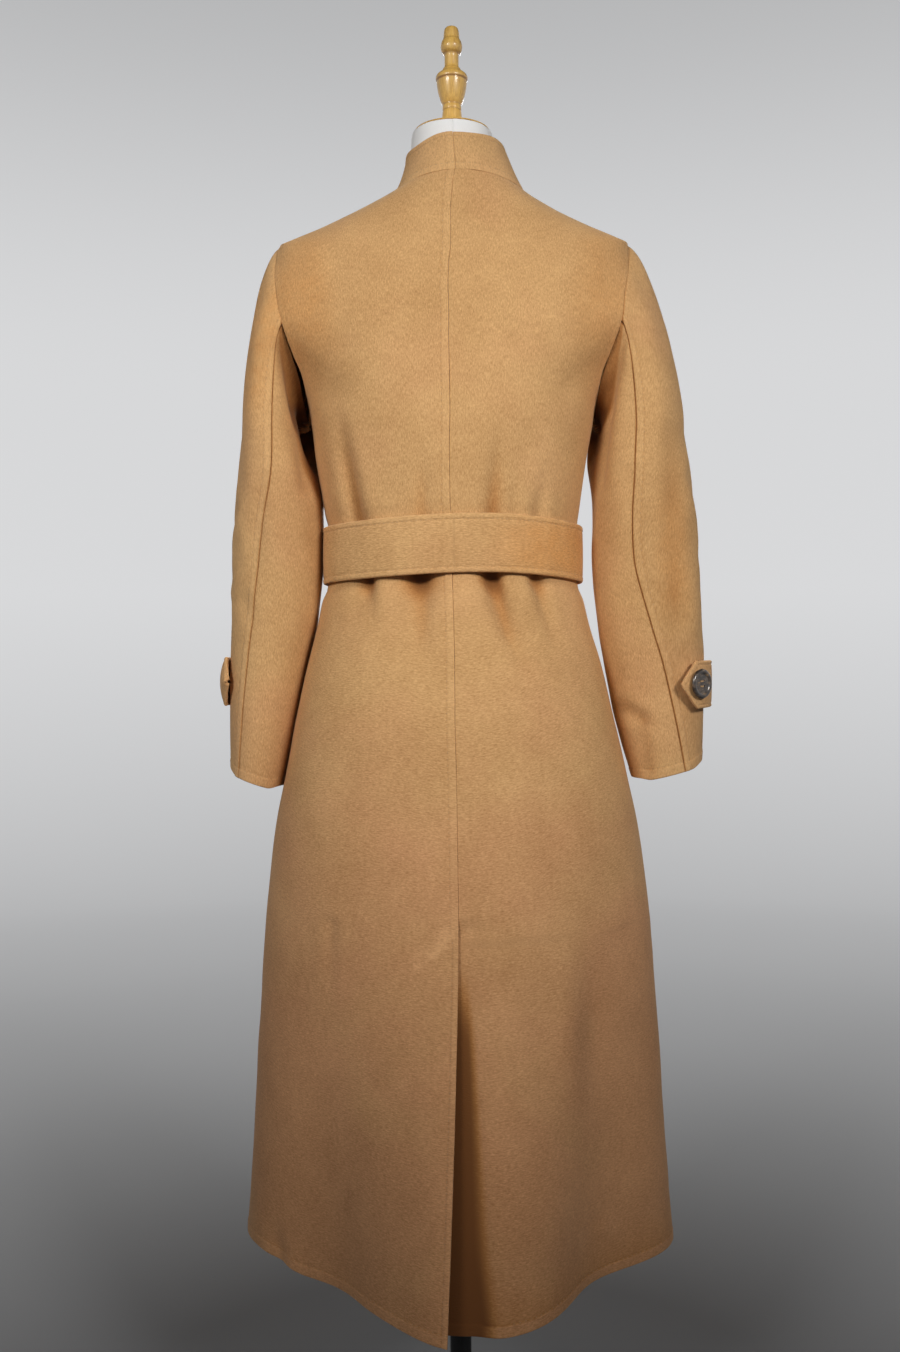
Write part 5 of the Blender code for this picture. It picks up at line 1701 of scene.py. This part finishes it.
def add_turned(name: str, profile: Array, segments: int, place: Matrix | None = None,
               dents: Callable[[Array, Array], Array] | None = None) -> Piece:
    """A turned piece: a profile of radius, height and stain, from the top down, carried round the Z axis.

    Args:
        name: The piece's name.
        profile: Rows of radius, height and stain, with both ends on the axis.
        segments: How many steps go round.
        place: Where the turned form is carried to.
        dents: How far the surface is sunk at x and y, on the rows over half its height.

    Returns:
        The object.
    """
    angle = full_turn(segments)
    radius, height, stain = (column[1:-1, None] for column in profile.T)
    x, y = radius * np.cos(angle), radius * np.sin(angle)
    z = np.broadcast_to(height, x.shape)
    if dents is not None:
        z = z - dents(x, y) * (height > profile[:, 1].max() / 2)
    rings = joined(x, y, z)
    poles = np.outer(profile[[0, -1], 1], UP)
    if place is not None:
        turn = np.array(place)
        rings, poles = (part @ turn[:3, :3].T + turn[:3, 3] for part in (rings, poles))
    run = run_length(profile[None, :, :2], 1)[0][1:-1, None]
    return add_closed(name, rings, poles, (angle[None] * radius.max(), run), 0 * x - stain)


@dataclass
class CuffTab:
    """A pointed tab round a cuff's outer side, bowed off the sleeve, with its horn button."""

    sleeve: Sleeve
    height: float
    root: float
    tip: float
    button: float
    width: float = 0.052
    point: float = 0.18
    nose: float = 1.02
    bulge: float = 0.0052
    flare: float = 0.0075
    cup: float = 0.15
    rest: float = 0.0004
    seat: float = 0.0004
    edges: tuple[float, ...] = (0.0020, 0.0018, 0.0020, 0.0020)
    band: float = 0.0052
    pitch: float = 0.0040
    holes: float = 0.0028
    hole_radius: float = 0.0011
    hole_depth: float = 0.0024
    thread: float = 0.00030

    def half_width(self, share: Array) -> Array:
        """Half the tab's width, which narrows to the point."""
        return self.width / 2 * np.clip((self.nose - share) / self.point, 0, 1)

    def surface(self, across: Array, share: Array) -> Array:
        """Points by place across the tab, -1 to 1, and share of its length: the tube, grown to the tip."""
        number = self.sleeve.row_at_height(self.height + across * self.half_width(share))
        away = self.bulge * np.sin(math.pi / 2 * share) + self.flare * share ** 2
        away = away * (1 - self.cup * across ** 2)
        stand = self.rest + away + SEW.double
        return self.sleeve.tube(number, self.root + (self.tip - self.root) * share, stand)

    def build(self, finishes: Finishes, stitching: Stitching) -> None:
        """Build the tab with its stitched edge, the button with its holes, and the button's thread."""
        name = f"cuff_tab_{self.sleeve.name}"
        edge = np.array([0, 0.015, 0.04, 0.08, 0.13, 0.17, 0.20, 0.23, 0.26, 0.31])
        across = np.concatenate([edge, np.linspace(0.31, 1.69, 16)[1:-1], 2 - edge[::-1]]) - 1
        share = np.concatenate([[0, 0.004, 0.01, 0.02, 0.035], np.linspace(0.05, 0.84, 40),
                                np.linspace(0.85, 1, 14)])
        rows, columns = np.meshgrid(across, share, indexing="ij")
        cloth = Cloth(self.surface(rows, columns), -self.sleeve.side, SEW.double, self.edges)
        slant = np.where(columns > 1 - self.point, 0.57, 1.0)
        inside = (1 - np.abs(rows)) * self.half_width(columns) * slant
        cloth.relief += sewn_band(inside, self.band, 0.0003, 0.0007)
        cloth.tone += 0.6 * band_tone(inside, self.band)
        hang(cloth, name, finishes.sleeve, Held.FOLDED)
        for stitched in (-0.80, 0.80):
            stitching.sew(cloth.hem_line(int(np.argmin(np.abs(across - stitched)))), self.pitch)
        self.add_button(finishes)

    def button_place(self) -> Matrix:
        """Where the button sits: Z out of the tab, X along it."""
        share = np.array([(self.button - self.root) / (self.tip - self.root)])
        middle, step = np.zeros(1), 1e-3
        spot = self.surface(middle, share)[0]
        way = (self.surface(middle, share + step) - self.surface(middle, share - step))[0]
        rise = (self.surface(middle + step, share) - self.surface(middle - step, share))[0]
        out = np.cross(rise, way) * -self.sleeve.side
        axes = [Vector(way).normalized(), None, Vector(out).normalized()]
        axes[1] = axes[2].cross(axes[0])
        turn = Matrix([axes[0], axes[1], axes[2]]).transposed().to_4x4()
        return Matrix.Translation(Vector(spot) + axes[2] * self.seat) @ turn

    def dents(self, x: Array, y: Array) -> Array:
        """Four round holes: a steep well at each corner of a square."""
        away = np.hypot(np.abs(x) - self.holes, np.abs(y) - self.holes)
        return self.hole_depth * (1 - ramp(away, self.hole_radius * 0.72, self.hole_radius * 1.1))

    def add_button(self, finishes: Finishes) -> None:
        """A dished button with a raised rim, four holes and two bars of thread."""
        dish = [(r, 0.0036 - 0.0002 * (r / 0.010) ** 2) for r in np.linspace(0, 0.0100, 26)]
        rim = ((0.0106, 0.0035), (0.0113, 0.0040), (0.0122, 0.0046), (0.0136, 0.0050), (0.0149, 0.0047),
               (0.0158, 0.0040), (0.0163, 0.0033), (0.0165, 0.0026), (0.0162, 0.0016), (0.0152, 0.0008),
               (0.0134, 0.0002), (0.0110, 0.0), (0.0, 0.0))
        name = f"cuff_button_{self.sleeve.name}"
        place = self.button_place()
        button = add_turned(f"{name}_horn", turned(*dish, *rim), 88, place, self.dents)
        own(button, finishes.horn, "horn", name)
        self.add_thread(place, finishes.thread)

    def add_thread(self, place: Matrix, material: Material) -> None:
        """Three plies of thread from hole to hole on either side, each a low arch."""
        share = np.linspace(-1, 1, 15)
        ply = np.array([-0.0005, 0.0, 0.0005])
        middle = (np.array([-1.0, 1.0])[:, None] * self.holes + ply[None]).ravel()
        turn = full_turn(8)
        s, m, t = np.meshgrid(share, middle, turn, indexing="ij")
        arch = 0.0040 - 0.0018 * np.abs(s) ** 4
        points = joined(s * self.holes, m + self.thread * np.cos(t), arch + self.thread * np.sin(t))
        points = points.transpose(1, 0, 2, 3)
        bars, rings, sides = points.shape[:3]
        quads = grid_quads(rings, sides, True)
        ends = np.array([np.arange(sides)[::-1], np.arange(sides) + (rings - 1) * sides])
        offset = np.arange(bars)[:, None, None] * rings * sides
        faces = [(group + offset).reshape(-1, group.shape[1]) for group in (quads, ends)]
        matrix = np.array(place)
        flat = points.reshape(-1, 3) @ matrix[:3, :3].T + matrix[:3, 3]
        piece = add_piece(f"button_thread_{self.sleeve.name}", flat, faces, flat[:, :2], np.zeros(len(flat)))
        own(piece, material, "camel_wool")


@dataclass
class Belt:
    """The tie belt: its band round the waist, its knot and its two hanging ends."""

    segments: int = 420
    girth: float = 0.13
    wave: float = 0.0016
    arch: float = 0.0050
    knot: tuple[float, float, float] = (0.050, 0.026, 0.074)
    knot_squareness: float = 0.7
    knot_roundness: int = 3
    pleats: tuple[tuple[float, float], ...] = ((-0.0150, 0.0022), (-0.0045, 0.0030), (0.0070, 0.0026),
                                               (0.0165, 0.0018))
    pleat_width: float = 0.0026
    tail_clear: float = 0.0007
    tail_width: float = 0.055
    tail_length: float = 0.340
    tail_lean: float = 0.020
    tail_pinch: float = 0.42
    tail_spread: float = 0.070
    tail_step: float = 0.018

    def build(self, finishes: Finishes, stitching: Stitching) -> None:
        """Build the band, the knot and the ends."""
        self.add_band(finishes, stitching)
        self.add_knot(finishes)
        for hand, way in SIDES:
            self.add_tail(f"belt_tail_{hand}", way, finishes, stitching)

    def ring(self, sweep: Array) -> tuple[Array, Array]:
        """The band's inner line round the waist, a superellipse, and its ways out."""
        waist = BODY["waist"]
        power = 2 / waist.power
        depth = np.where(np.cos(sweep) > 0, waist.back_depth, waist.front_depth) + WAIST.clear
        width = waist.half_width + WAIST.clear
        x = waist.shift + width * signed_power(np.sin(sweep), power)
        y = depth * signed_power(np.cos(sweep), power)
        out = joined(np.sin(sweep) / width, np.cos(sweep) / depth, 0 * x)
        return joined(x, y, 0 * x), out / np.linalg.norm(out, axis=-1, keepdims=True)

    def add_band(self, finishes: Finishes, stitching: Stitching) -> None:
        """The band: a flat section with rolled, stitched edges carried round the waist.

        The section runs up the outer side, with its columns close at both edges, and down the inner
        side.  The outer side has a sewn band along each edge and the whole band waves a little outwards.
        """
        sweep = full_turn(self.segments)
        ring, out = self.ring(sweep)
        rise = np.concatenate([EDGE_STEPS, np.linspace(EDGE_STEPS[-1], WAIST.width - EDGE_STEPS[-1], 14)[1:-1],
                               WAIST.width - EDGE_STEPS[::-1]])
        edge = np.minimum(rise, WAIST.width - rise)
        length = run_length(np.concatenate([ring, ring[:1]])[None], 1)[0][:-1]
        round_off = 0.46 * SEW.double * rolled(edge, 0.0022)
        pucker = 0.0002 * bell(edge - SEW.edge, 0.004)[None] * np.sin(length * 560)[:, None]
        crown = 0.0007 * np.sin(math.pi * rise / WAIST.width)
        outer = SEW.double - round_off + sewn_band(edge, SEW.edge, 0.0004, 0.0006) + crown + pucker
        inner = np.broadcast_to(round_off, outer.shape)
        around = np.cos(sweep) * self.girth, np.sin(sweep) * self.girth
        stand = self.wave * (ripple(*around, 0.11, 7) + 0.4).clip(0)[:, None]
        tilt = self.wave * ripple(*around, 0.09, 8).clip(0)[:, None] * ((rise / WAIST.width) ** 2)[None]
        arch = self.arch * bell(wrapped(np.degrees(sweep) + 14.0), 40.0)
        sag = (arch + 0.0007 * ripple(*around, 0.20, 9))[:, None]

        def side_points(offset: Array) -> Array:
            """Points of one side, from how far out each of them is."""
            place = ring[:, None] + out[:, None] * (offset + stand + tilt)[..., None]
            return place + (WAIST.low + rise[None] + sag)[..., None] * UP

        right, wrong = side_points(outer), side_points(inner)
        points = np.concatenate([right, wrong[:, ::-1]], axis=1)
        quads = grid_quads(*points.shape[:2], True, True)
        place = joined(length[:, None], np.concatenate([rise, rise[::-1]])[None])
        tone = np.concatenate([np.broadcast_to(0.8 * band_tone(edge, SEW.edge), outer.shape), 0 * outer], axis=1)
        piece = add_piece("belt_band", points.reshape(-1, 3), [quads], place.reshape(-1, 2), tone.ravel())
        own(piece, finishes.belt, "camel_wool", "belt")
        normal = np.concatenate([out, out[:1]])
        for level in (step_at(SEW.edge), -1 - step_at(SEW.edge)):
            line = np.concatenate([right[:, level], right[:1, level]])
            stitching.sew((line, normal))

    def seat(self) -> float:
        """How far before the middle plane the belt's ends lie at the waist."""
        return BODY["waist"].front_depth + WAIST.clear + 2 * SEW.double + self.tail_clear + SEW.gap

    def add_knot(self, finishes: Finishes) -> None:
        """The knot: a squarish rounded form, back to the band, pinched by slanting pleats where it is wound."""
        width, deep, tall = self.knot
        level = np.linspace(-1, 1, 74)[:, None]
        sweep = full_turn(96)[None]
        size = (1.02 - np.abs(level) ** self.knot_roundness) ** (1 / self.knot_roundness)
        x = signed_power(np.cos(sweep), self.knot_squareness) * width / 2 * size
        y = signed_power(np.sin(sweep), self.knot_squareness) * deep / 2 * size
        z = level * tall / 2 + 0 * x
        slant = x * 0.93 + z * 0.36
        pleats = sum(depth * bell(slant - middle, self.pleat_width) for middle, depth in self.pleats)
        waisted = 0.0030 * (1 - level ** 2) ** 2
        front = ramp(-y, 0.0, deep * 0.3)
        to_band = 1 + 2 * (SEW.double + self.tail_clear) / deep
        y = np.where(y > 0, y * to_band, y + front * (pleats + 0.5 * waisted))
        x = x * (1 - 0.10 * (1 - level ** 2))
        points = joined(BODY["waist"].shift + x, y - self.seat() - deep / 2,
                        z + WAIST.low + WAIST.width / 2)
        # The pleats' creases are darkened in the tone: painted shade.
        piece = add_closed("belt_knot_cloth", points, points[[0, -1]].mean(1), (sweep * width / 2, z),
                           -0.4 * front * pleats / 0.003, -1)
        own(piece, finishes.belt, "camel_wool", "belt_knot")

    def add_tail(self, name: str, way: int, finishes: Finishes, stitching: Stitching) -> None:
        """One hanging end: a band on the fronts' own surface, pinched under the knot, with stitched edges."""
        body = Body(-1, True)
        top = WAIST.low + WAIST.width / 2

        def hanging(level: Array, share: Array) -> Array:
            """Points on the fronts by share of the end's length and width."""
            height = top - self.tail_length * level
            gathered = ramp(height, WAIST.high, WAIST.low - self.tail_spread)
            wide = self.tail_width * (self.tail_pinch + (1 - self.tail_pinch) * gathered)
            middle = way * (wide / 2 + SEW.gap + self.tail_lean * level)
            at = row_at_height(height)
            return body.point(at, np.arcsin(-(middle + wide * share) / body.level(at).half_width))

        foot = 1 - EDGE_STEPS[::-1] / self.tail_length
        rows = np.concatenate([np.linspace(0, foot[0], 64)[:-1], foot])
        level, share = spread_columns(hanging, rows, -0.5, 0.5, 12)
        cloth = Cloth(hanging(level, share), 1, SEW.double, (0.0020, 0.0020, 0.0012, 0.0020))
        height = top - self.tail_length * level
        over_belt = ramp(height, WAIST.low - self.tail_step, WAIST.low - SEW.gap)
        away = self.tail_clear + SEW.double + (WAIST.clear + SEW.double) * over_belt
        pinched = ramp(height, WAIST.low - 0.09, WAIST.low)
        away = away + 0.0026 * pinched * (1 - over_belt) * np.cos(3 * math.pi * share) ** 2
        cloth.face = cloth.face + cloth.normals() * away[..., None]
        # A lighter nap on the end, with painted shade along both its long edges.
        cloth.tone += 0.7 - 2.6 * bell(np.minimum(cloth.first, cloth.last), 0.0016)
        for distance in (cloth.first, cloth.last, cloth.high):
            cloth.sew(distance, SEW.edge)
        edge = step_at(SEW.edge)
        for column in (edge, -1 - edge):
            stitching.sew(cloth.seam_line(column, slice(8, -edge)))
        hang(cloth, name, finishes.belt, Held.HUNG)


@dataclass
class DressForm:
    """The limbless form: covered torso, turned neck cap and finial, pole and round base."""

    shoulder_seat: float = 0.00353
    back_inset: float = 0.0105
    front_inset: float = 0.0140
    shoulder_drop: float = 0.006
    inside: float = 0.0003
    cap_top: float = 1.5209
    pole_radius: float = 0.012
    base_radius: float = 0.190

    def build(self, finishes: Finishes) -> None:
        """Build the form from its torso to its base."""
        self.add_torso(finishes)
        for name, profile, segments, finish, slot, node in (
                ("neck_cap_wood", self.neck_cap(), 96, finishes.wood, "turned_wood", "form_neck_cap"),
                ("finial_wood", self.finial(), 72, finishes.wood, "turned_wood", "form_finial"),
                ("pole_metal", self.pole(), 40, finishes.metal, "black_metal", "stand_pole"),
                ("base_metal", self.base(), 128, finishes.metal, "black_metal", "stand_base")):
            own(add_turned(name, profile, segments), finish, slot, node)

    def torso_table(self) -> Array:
        """All the torso's levels; its shoulders lie just under the coat's own."""
        slopes = [TorsoLevel(row.back_z - self.shoulder_drop, row.side_z - self.shoulder_seat,
                             row.front_z - self.shoulder_drop, row.half_width, row.shift,
                             row.back_depth - self.back_inset, row.front_depth - self.front_inset, row.power)
                  for row in (BODY["slope_1"], BODY["slope_2"], BODY["slope_3"])]
        return np.array([*TORSO_LOW, *slopes, *TORSO_NECK], dtype=float)

    def add_torso(self, finishes: Finishes) -> None:
        """The torso: a superellipse at each level, with one sewn seam down the centre back."""
        table = self.torso_table()
        at = np.linspace(0, len(table) - 1, (len(table) - 1) * 6 + 1)[:, None]
        level = TorsoLevel(*np.moveaxis(along(table, at), -1, 0))
        half = np.concatenate([[0, 0.006, 0.012, 0.020, 0.032, 0.05], np.linspace(0.08, math.pi, 52)])
        sweep = np.concatenate([half, 2 * math.pi - half[-2:0:-1]])[None]
        back = np.cos(sweep) > 0
        depth = np.where(back, level.back_depth, level.front_depth) - self.inside
        middle = np.where(back, level.back_z, level.front_z)
        x = (level.half_width - self.inside) * signed_power(np.sin(sweep), 2 / level.power)
        y = depth * signed_power(np.cos(sweep), 2 / level.power)
        z = level.side_z + (middle - level.side_z) * np.cos(sweep) ** 2
        seam = bell(x, 0.0011) * back
        welt = bell(x + 0.0035, 0.0022) * back
        y = y - 0.0006 * seam + 0.00025 * welt
        points = joined(x + level.shift, y, z)
        piece = add_closed("form_torso_cover", points, points[[0, -1]].mean(1), (run_length(points, 1), z),
                           -1.2 * seam + 0.3 * welt)
        own(piece, finishes.cover, "form_cover", "form_torso")

    def neck_cap(self) -> Array:
        """The wooden cap on the neck."""
        top = self.cap_top
        return turned((0.0, top), (0.0180, top), (0.0330, top - 0.0001), (0.0400, top - 0.0005),
                      (0.0424, 1.5199), (0.0431, 1.5194), (0.0433, 1.5190), (0.0430, 1.5185, 0.2),
                      (0.0420, 1.51825, 0.5), (0.0405, 1.51815, 0.6), (0.0, 1.51815), fine=5)

    def finial(self) -> Array:
        """The turned finial, with stain left in its grooves."""
        foot = self.cap_top + SEW.gap
        return turned((0.0, 1.6403), (0.0055, 1.6396), (0.0079, 1.6370), (0.0087, 1.6330), (0.0091, 1.6275),
                      (0.0095, 1.6258, 0.5), (0.0112, 1.6228), (0.0123, 1.6172), (0.0120, 1.6145),
                      (0.0107, 1.6112), (0.0086, 1.6090, 0.7), (0.0080, 1.6055), (0.0080, 1.5985),
                      (0.0083, 1.5940, 0.2), (0.0099, 1.5922, 0.5), (0.0106, 1.5906), (0.0114, 1.5892, 0.4),
                      (0.0150, 1.5866), (0.0176, 1.5838), (0.0183, 1.5812), (0.0180, 1.5790, 0.8),
                      (0.0173, 1.5778, 0.9), (0.0172, 1.5760), (0.0163, 1.5695), (0.0146, 1.5615),
                      (0.0120, 1.5540), (0.0104, 1.5506, 0.6), (0.0106, 1.5488), (0.0108, 1.5462),
                      (0.0104, 1.5446, 0.6), (0.0108, 1.5425), (0.0116, 1.5340), (0.0130, 1.5268),
                      (0.0130, foot, 0.6), (0.0, foot), fine=4)

    def pole(self) -> Array:
        """The pole, from just under the torso to just over the base."""
        top, foot, radius = 0.800 - SEW.gap, 0.0500 + SEW.gap, self.pole_radius
        return turned((0.0, top), (radius - 0.0010, top), (radius, top - 0.0010), (radius, 0.42),
                      (radius, foot + 0.0010), (radius - 0.0010, foot), (0.0, foot), fine=3)

    def base(self) -> Array:
        """The round base with its socket for the pole."""
        edge = self.base_radius
        return turned((0.0, 0.0500), (0.0190, 0.0500), (0.0215, 0.0490), (0.0222, 0.0470), (0.0230, 0.0275),
                      (0.0250, 0.0250), (0.0600, 0.0190), (edge - 0.012, 0.0140), (edge - 0.002, 0.0110),
                      (edge, 0.0070), (edge, 0.0030), (edge - 0.002, 0.0003), (edge - 0.004, 0.0), (0.0, 0.0),
                      fine=6)


@dataclass(frozen=True)
class Softbox:
    """One soft studio light: its place, aim, size, power and how far its grid lets it spread."""

    name: str
    place: tuple[float, float, float]
    aim: tuple[float, float, float]
    size: tuple[float, float]
    power: float
    spread: float = 180.0
    colour: Colour = (1.0, 1.0, 1.0)

    def build(self) -> None:
        """Hang the light."""
        lamp = bpy.data.lights.new(self.name, "AREA")
        lamp.shape = "RECTANGLE"
        lamp.size, lamp.size_y = self.size
        lamp.energy = self.power
        lamp.spread = math.radians(self.spread)
        lamp.color = self.colour
        holder = bpy.data.objects.new(self.name, lamp)
        holder.location = self.place
        way = Vector(self.aim) - Vector(self.place)
        holder.rotation_euler = way.to_track_quat("-Z", "Y").to_euler()
        bpy.context.scene.collection.objects.link(holder)


@dataclass(frozen=True)
class Studio:
    """The seamless pale backdrop, the soft lights and the camera."""

    floor: float = 3.9
    bend: float = 1.3
    wall: float = 4.8
    segments: int = 128
    fill: float = 0.085
    fill_colour: Colour = (1.0, 0.965, 0.92)
    lens: float = 35.0
    sensor: float = 36.0
    camera: tuple[float, float, float] = (0.0069, 1.5, 0.90)
    roll: float = math.radians(-0.418)
    lights: tuple[Softbox, ...] = (
        Softbox("left_high", (1.75, 2.75, 2.30), (0.0, 0.05, 1.40), (1.0, 0.5), 1.24, 33.0),
        Softbox("left_low", (1.75, 2.75, 2.30), (0.0, 0.05, 0.93), (1.0, 0.5), 1.42, 31.0),
        Softbox("right_high", (-1.75, 2.75, 2.30), (0.0, 0.05, 1.40), (1.0, 0.5), 1.16, 33.0),
        Softbox("right_low", (-1.75, 2.75, 2.30), (0.0, 0.05, 0.93), (1.0, 0.5), 1.86, 31.0),
        Softbox("front_high", (-0.15, -3.1, 2.35), (0.0, -0.05, 1.35), (2.8, 0.5), 4.6, 34.0),
        Softbox("front_low", (-0.15, -3.1, 2.35), (0.0, -0.05, 0.85), (2.8, 0.5), 4.6, 32.0),
    )

    def build(self) -> None:
        """Build the backdrop, the lights, the fill and the camera."""
        self.add_backdrop()
        for light in self.lights:
            light.build()
        world = bpy.data.worlds.new("fill")
        bpy.context.scene.world = world
        world.use_nodes = True
        background = world.node_tree.nodes["Background"].inputs
        background["Color"].default_value = (*self.fill_colour, 1.0)
        background["Strength"].default_value = self.fill
        bpy.context.scene.view_settings.view_transform = "Standard"
        self.add_camera()

    def add_backdrop(self) -> None:
        """A round sweep: a flat floor, a quarter bend and a wall, carried round the Z axis."""
        turn = np.linspace(0, math.pi / 2, 25)
        radius = np.concatenate([np.linspace(0.05, self.floor, 30), self.floor + self.bend * np.sin(turn[1:]),
                                 [self.floor + self.bend] * 6])
        height = np.concatenate([np.zeros(30), self.bend * (1 - np.cos(turn[1:])),
                                 np.linspace(self.bend, self.wall, 7)[1:]])
        angle = full_turn(self.segments)[None]
        rings = joined(radius[:, None] * np.cos(angle), radius[:, None] * np.sin(angle),
                       height[:, None])
        points = np.concatenate([rings.reshape(-1, 3), [[0.0, 0.0, 0.0]]])
        middle = fan(len(points) - 1, np.arange(self.segments))
        faces = [grid_quads(len(radius), self.segments, True)[:, ::-1], middle]
        paper = add_piece("backdrop", points, faces, points[:, :2], np.zeros(len(points)))
        paper.data.materials.append(Paper().material("pale_paper"))
        paper.visible_diffuse = False
        paper.visible_shadow = False

    def add_camera(self) -> None:
        """The camera: level, behind the coat, turned a hair about its own axis."""
        lens = bpy.data.cameras.new("camera")
        lens.lens = self.lens
        lens.sensor_width = self.sensor
        lens.clip_end = 50.0
        holder = bpy.data.objects.new("camera", lens)
        level = Matrix.Rotation(math.pi, 4, "Z") @ Matrix.Rotation(math.pi / 2, 4, "X")
        holder.matrix_world = Matrix.Translation(self.camera) @ level @ Matrix.Rotation(self.roll, 4, "Z")
        bpy.context.scene.collection.objects.link(holder)
        bpy.context.scene.camera = holder


def main() -> None:
    """Build every piece of the coat and its form, then the studio."""
    logging.basicConfig(level=logging.INFO, format="%(name)s: %(message)s")
    finishes = Finishes.make()
    stitching = Stitching()
    left = Sleeve("left", 1, SLEEVE_LEFT, press=0.021, tones=(0.8, 0.3),
                  shadow=(0.003, 0.003, 0.006, 0.018, 0.022, 0.020, 0.017, 0.010, 0.001))
    right = Sleeve("right", -1, SLEEVE_RIGHT, press=0.013, tones=(-0.5, 0.5),
                   shadow=(0.002, 0.003, 0.004, 0.009, 0.010, 0.012, 0.011, 0.008, 0.002))
    DressForm().build(finishes)
    tabs = (CuffTab(left, height=0.893, root=-66, tip=40, button=-27, width=0.057, bulge=0.0064, flare=0.0022,
                    cup=0.80),
            CuffTab(right, height=0.8855, root=-47, tip=74, button=52, width=0.056, flare=0.0050))
    for maker in (Backs(), Fronts(), Collar(), left, right, *tabs, Belt()):
        maker.build(finishes, stitching)
    stitching.build(finishes.thread)
    Studio().build()
    shown = [name for name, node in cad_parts.items() if not node.hide_render]
    LOG.info("CAD nodes still shown: %s", shown or "none")


if __name__ == "__main__":
    main()
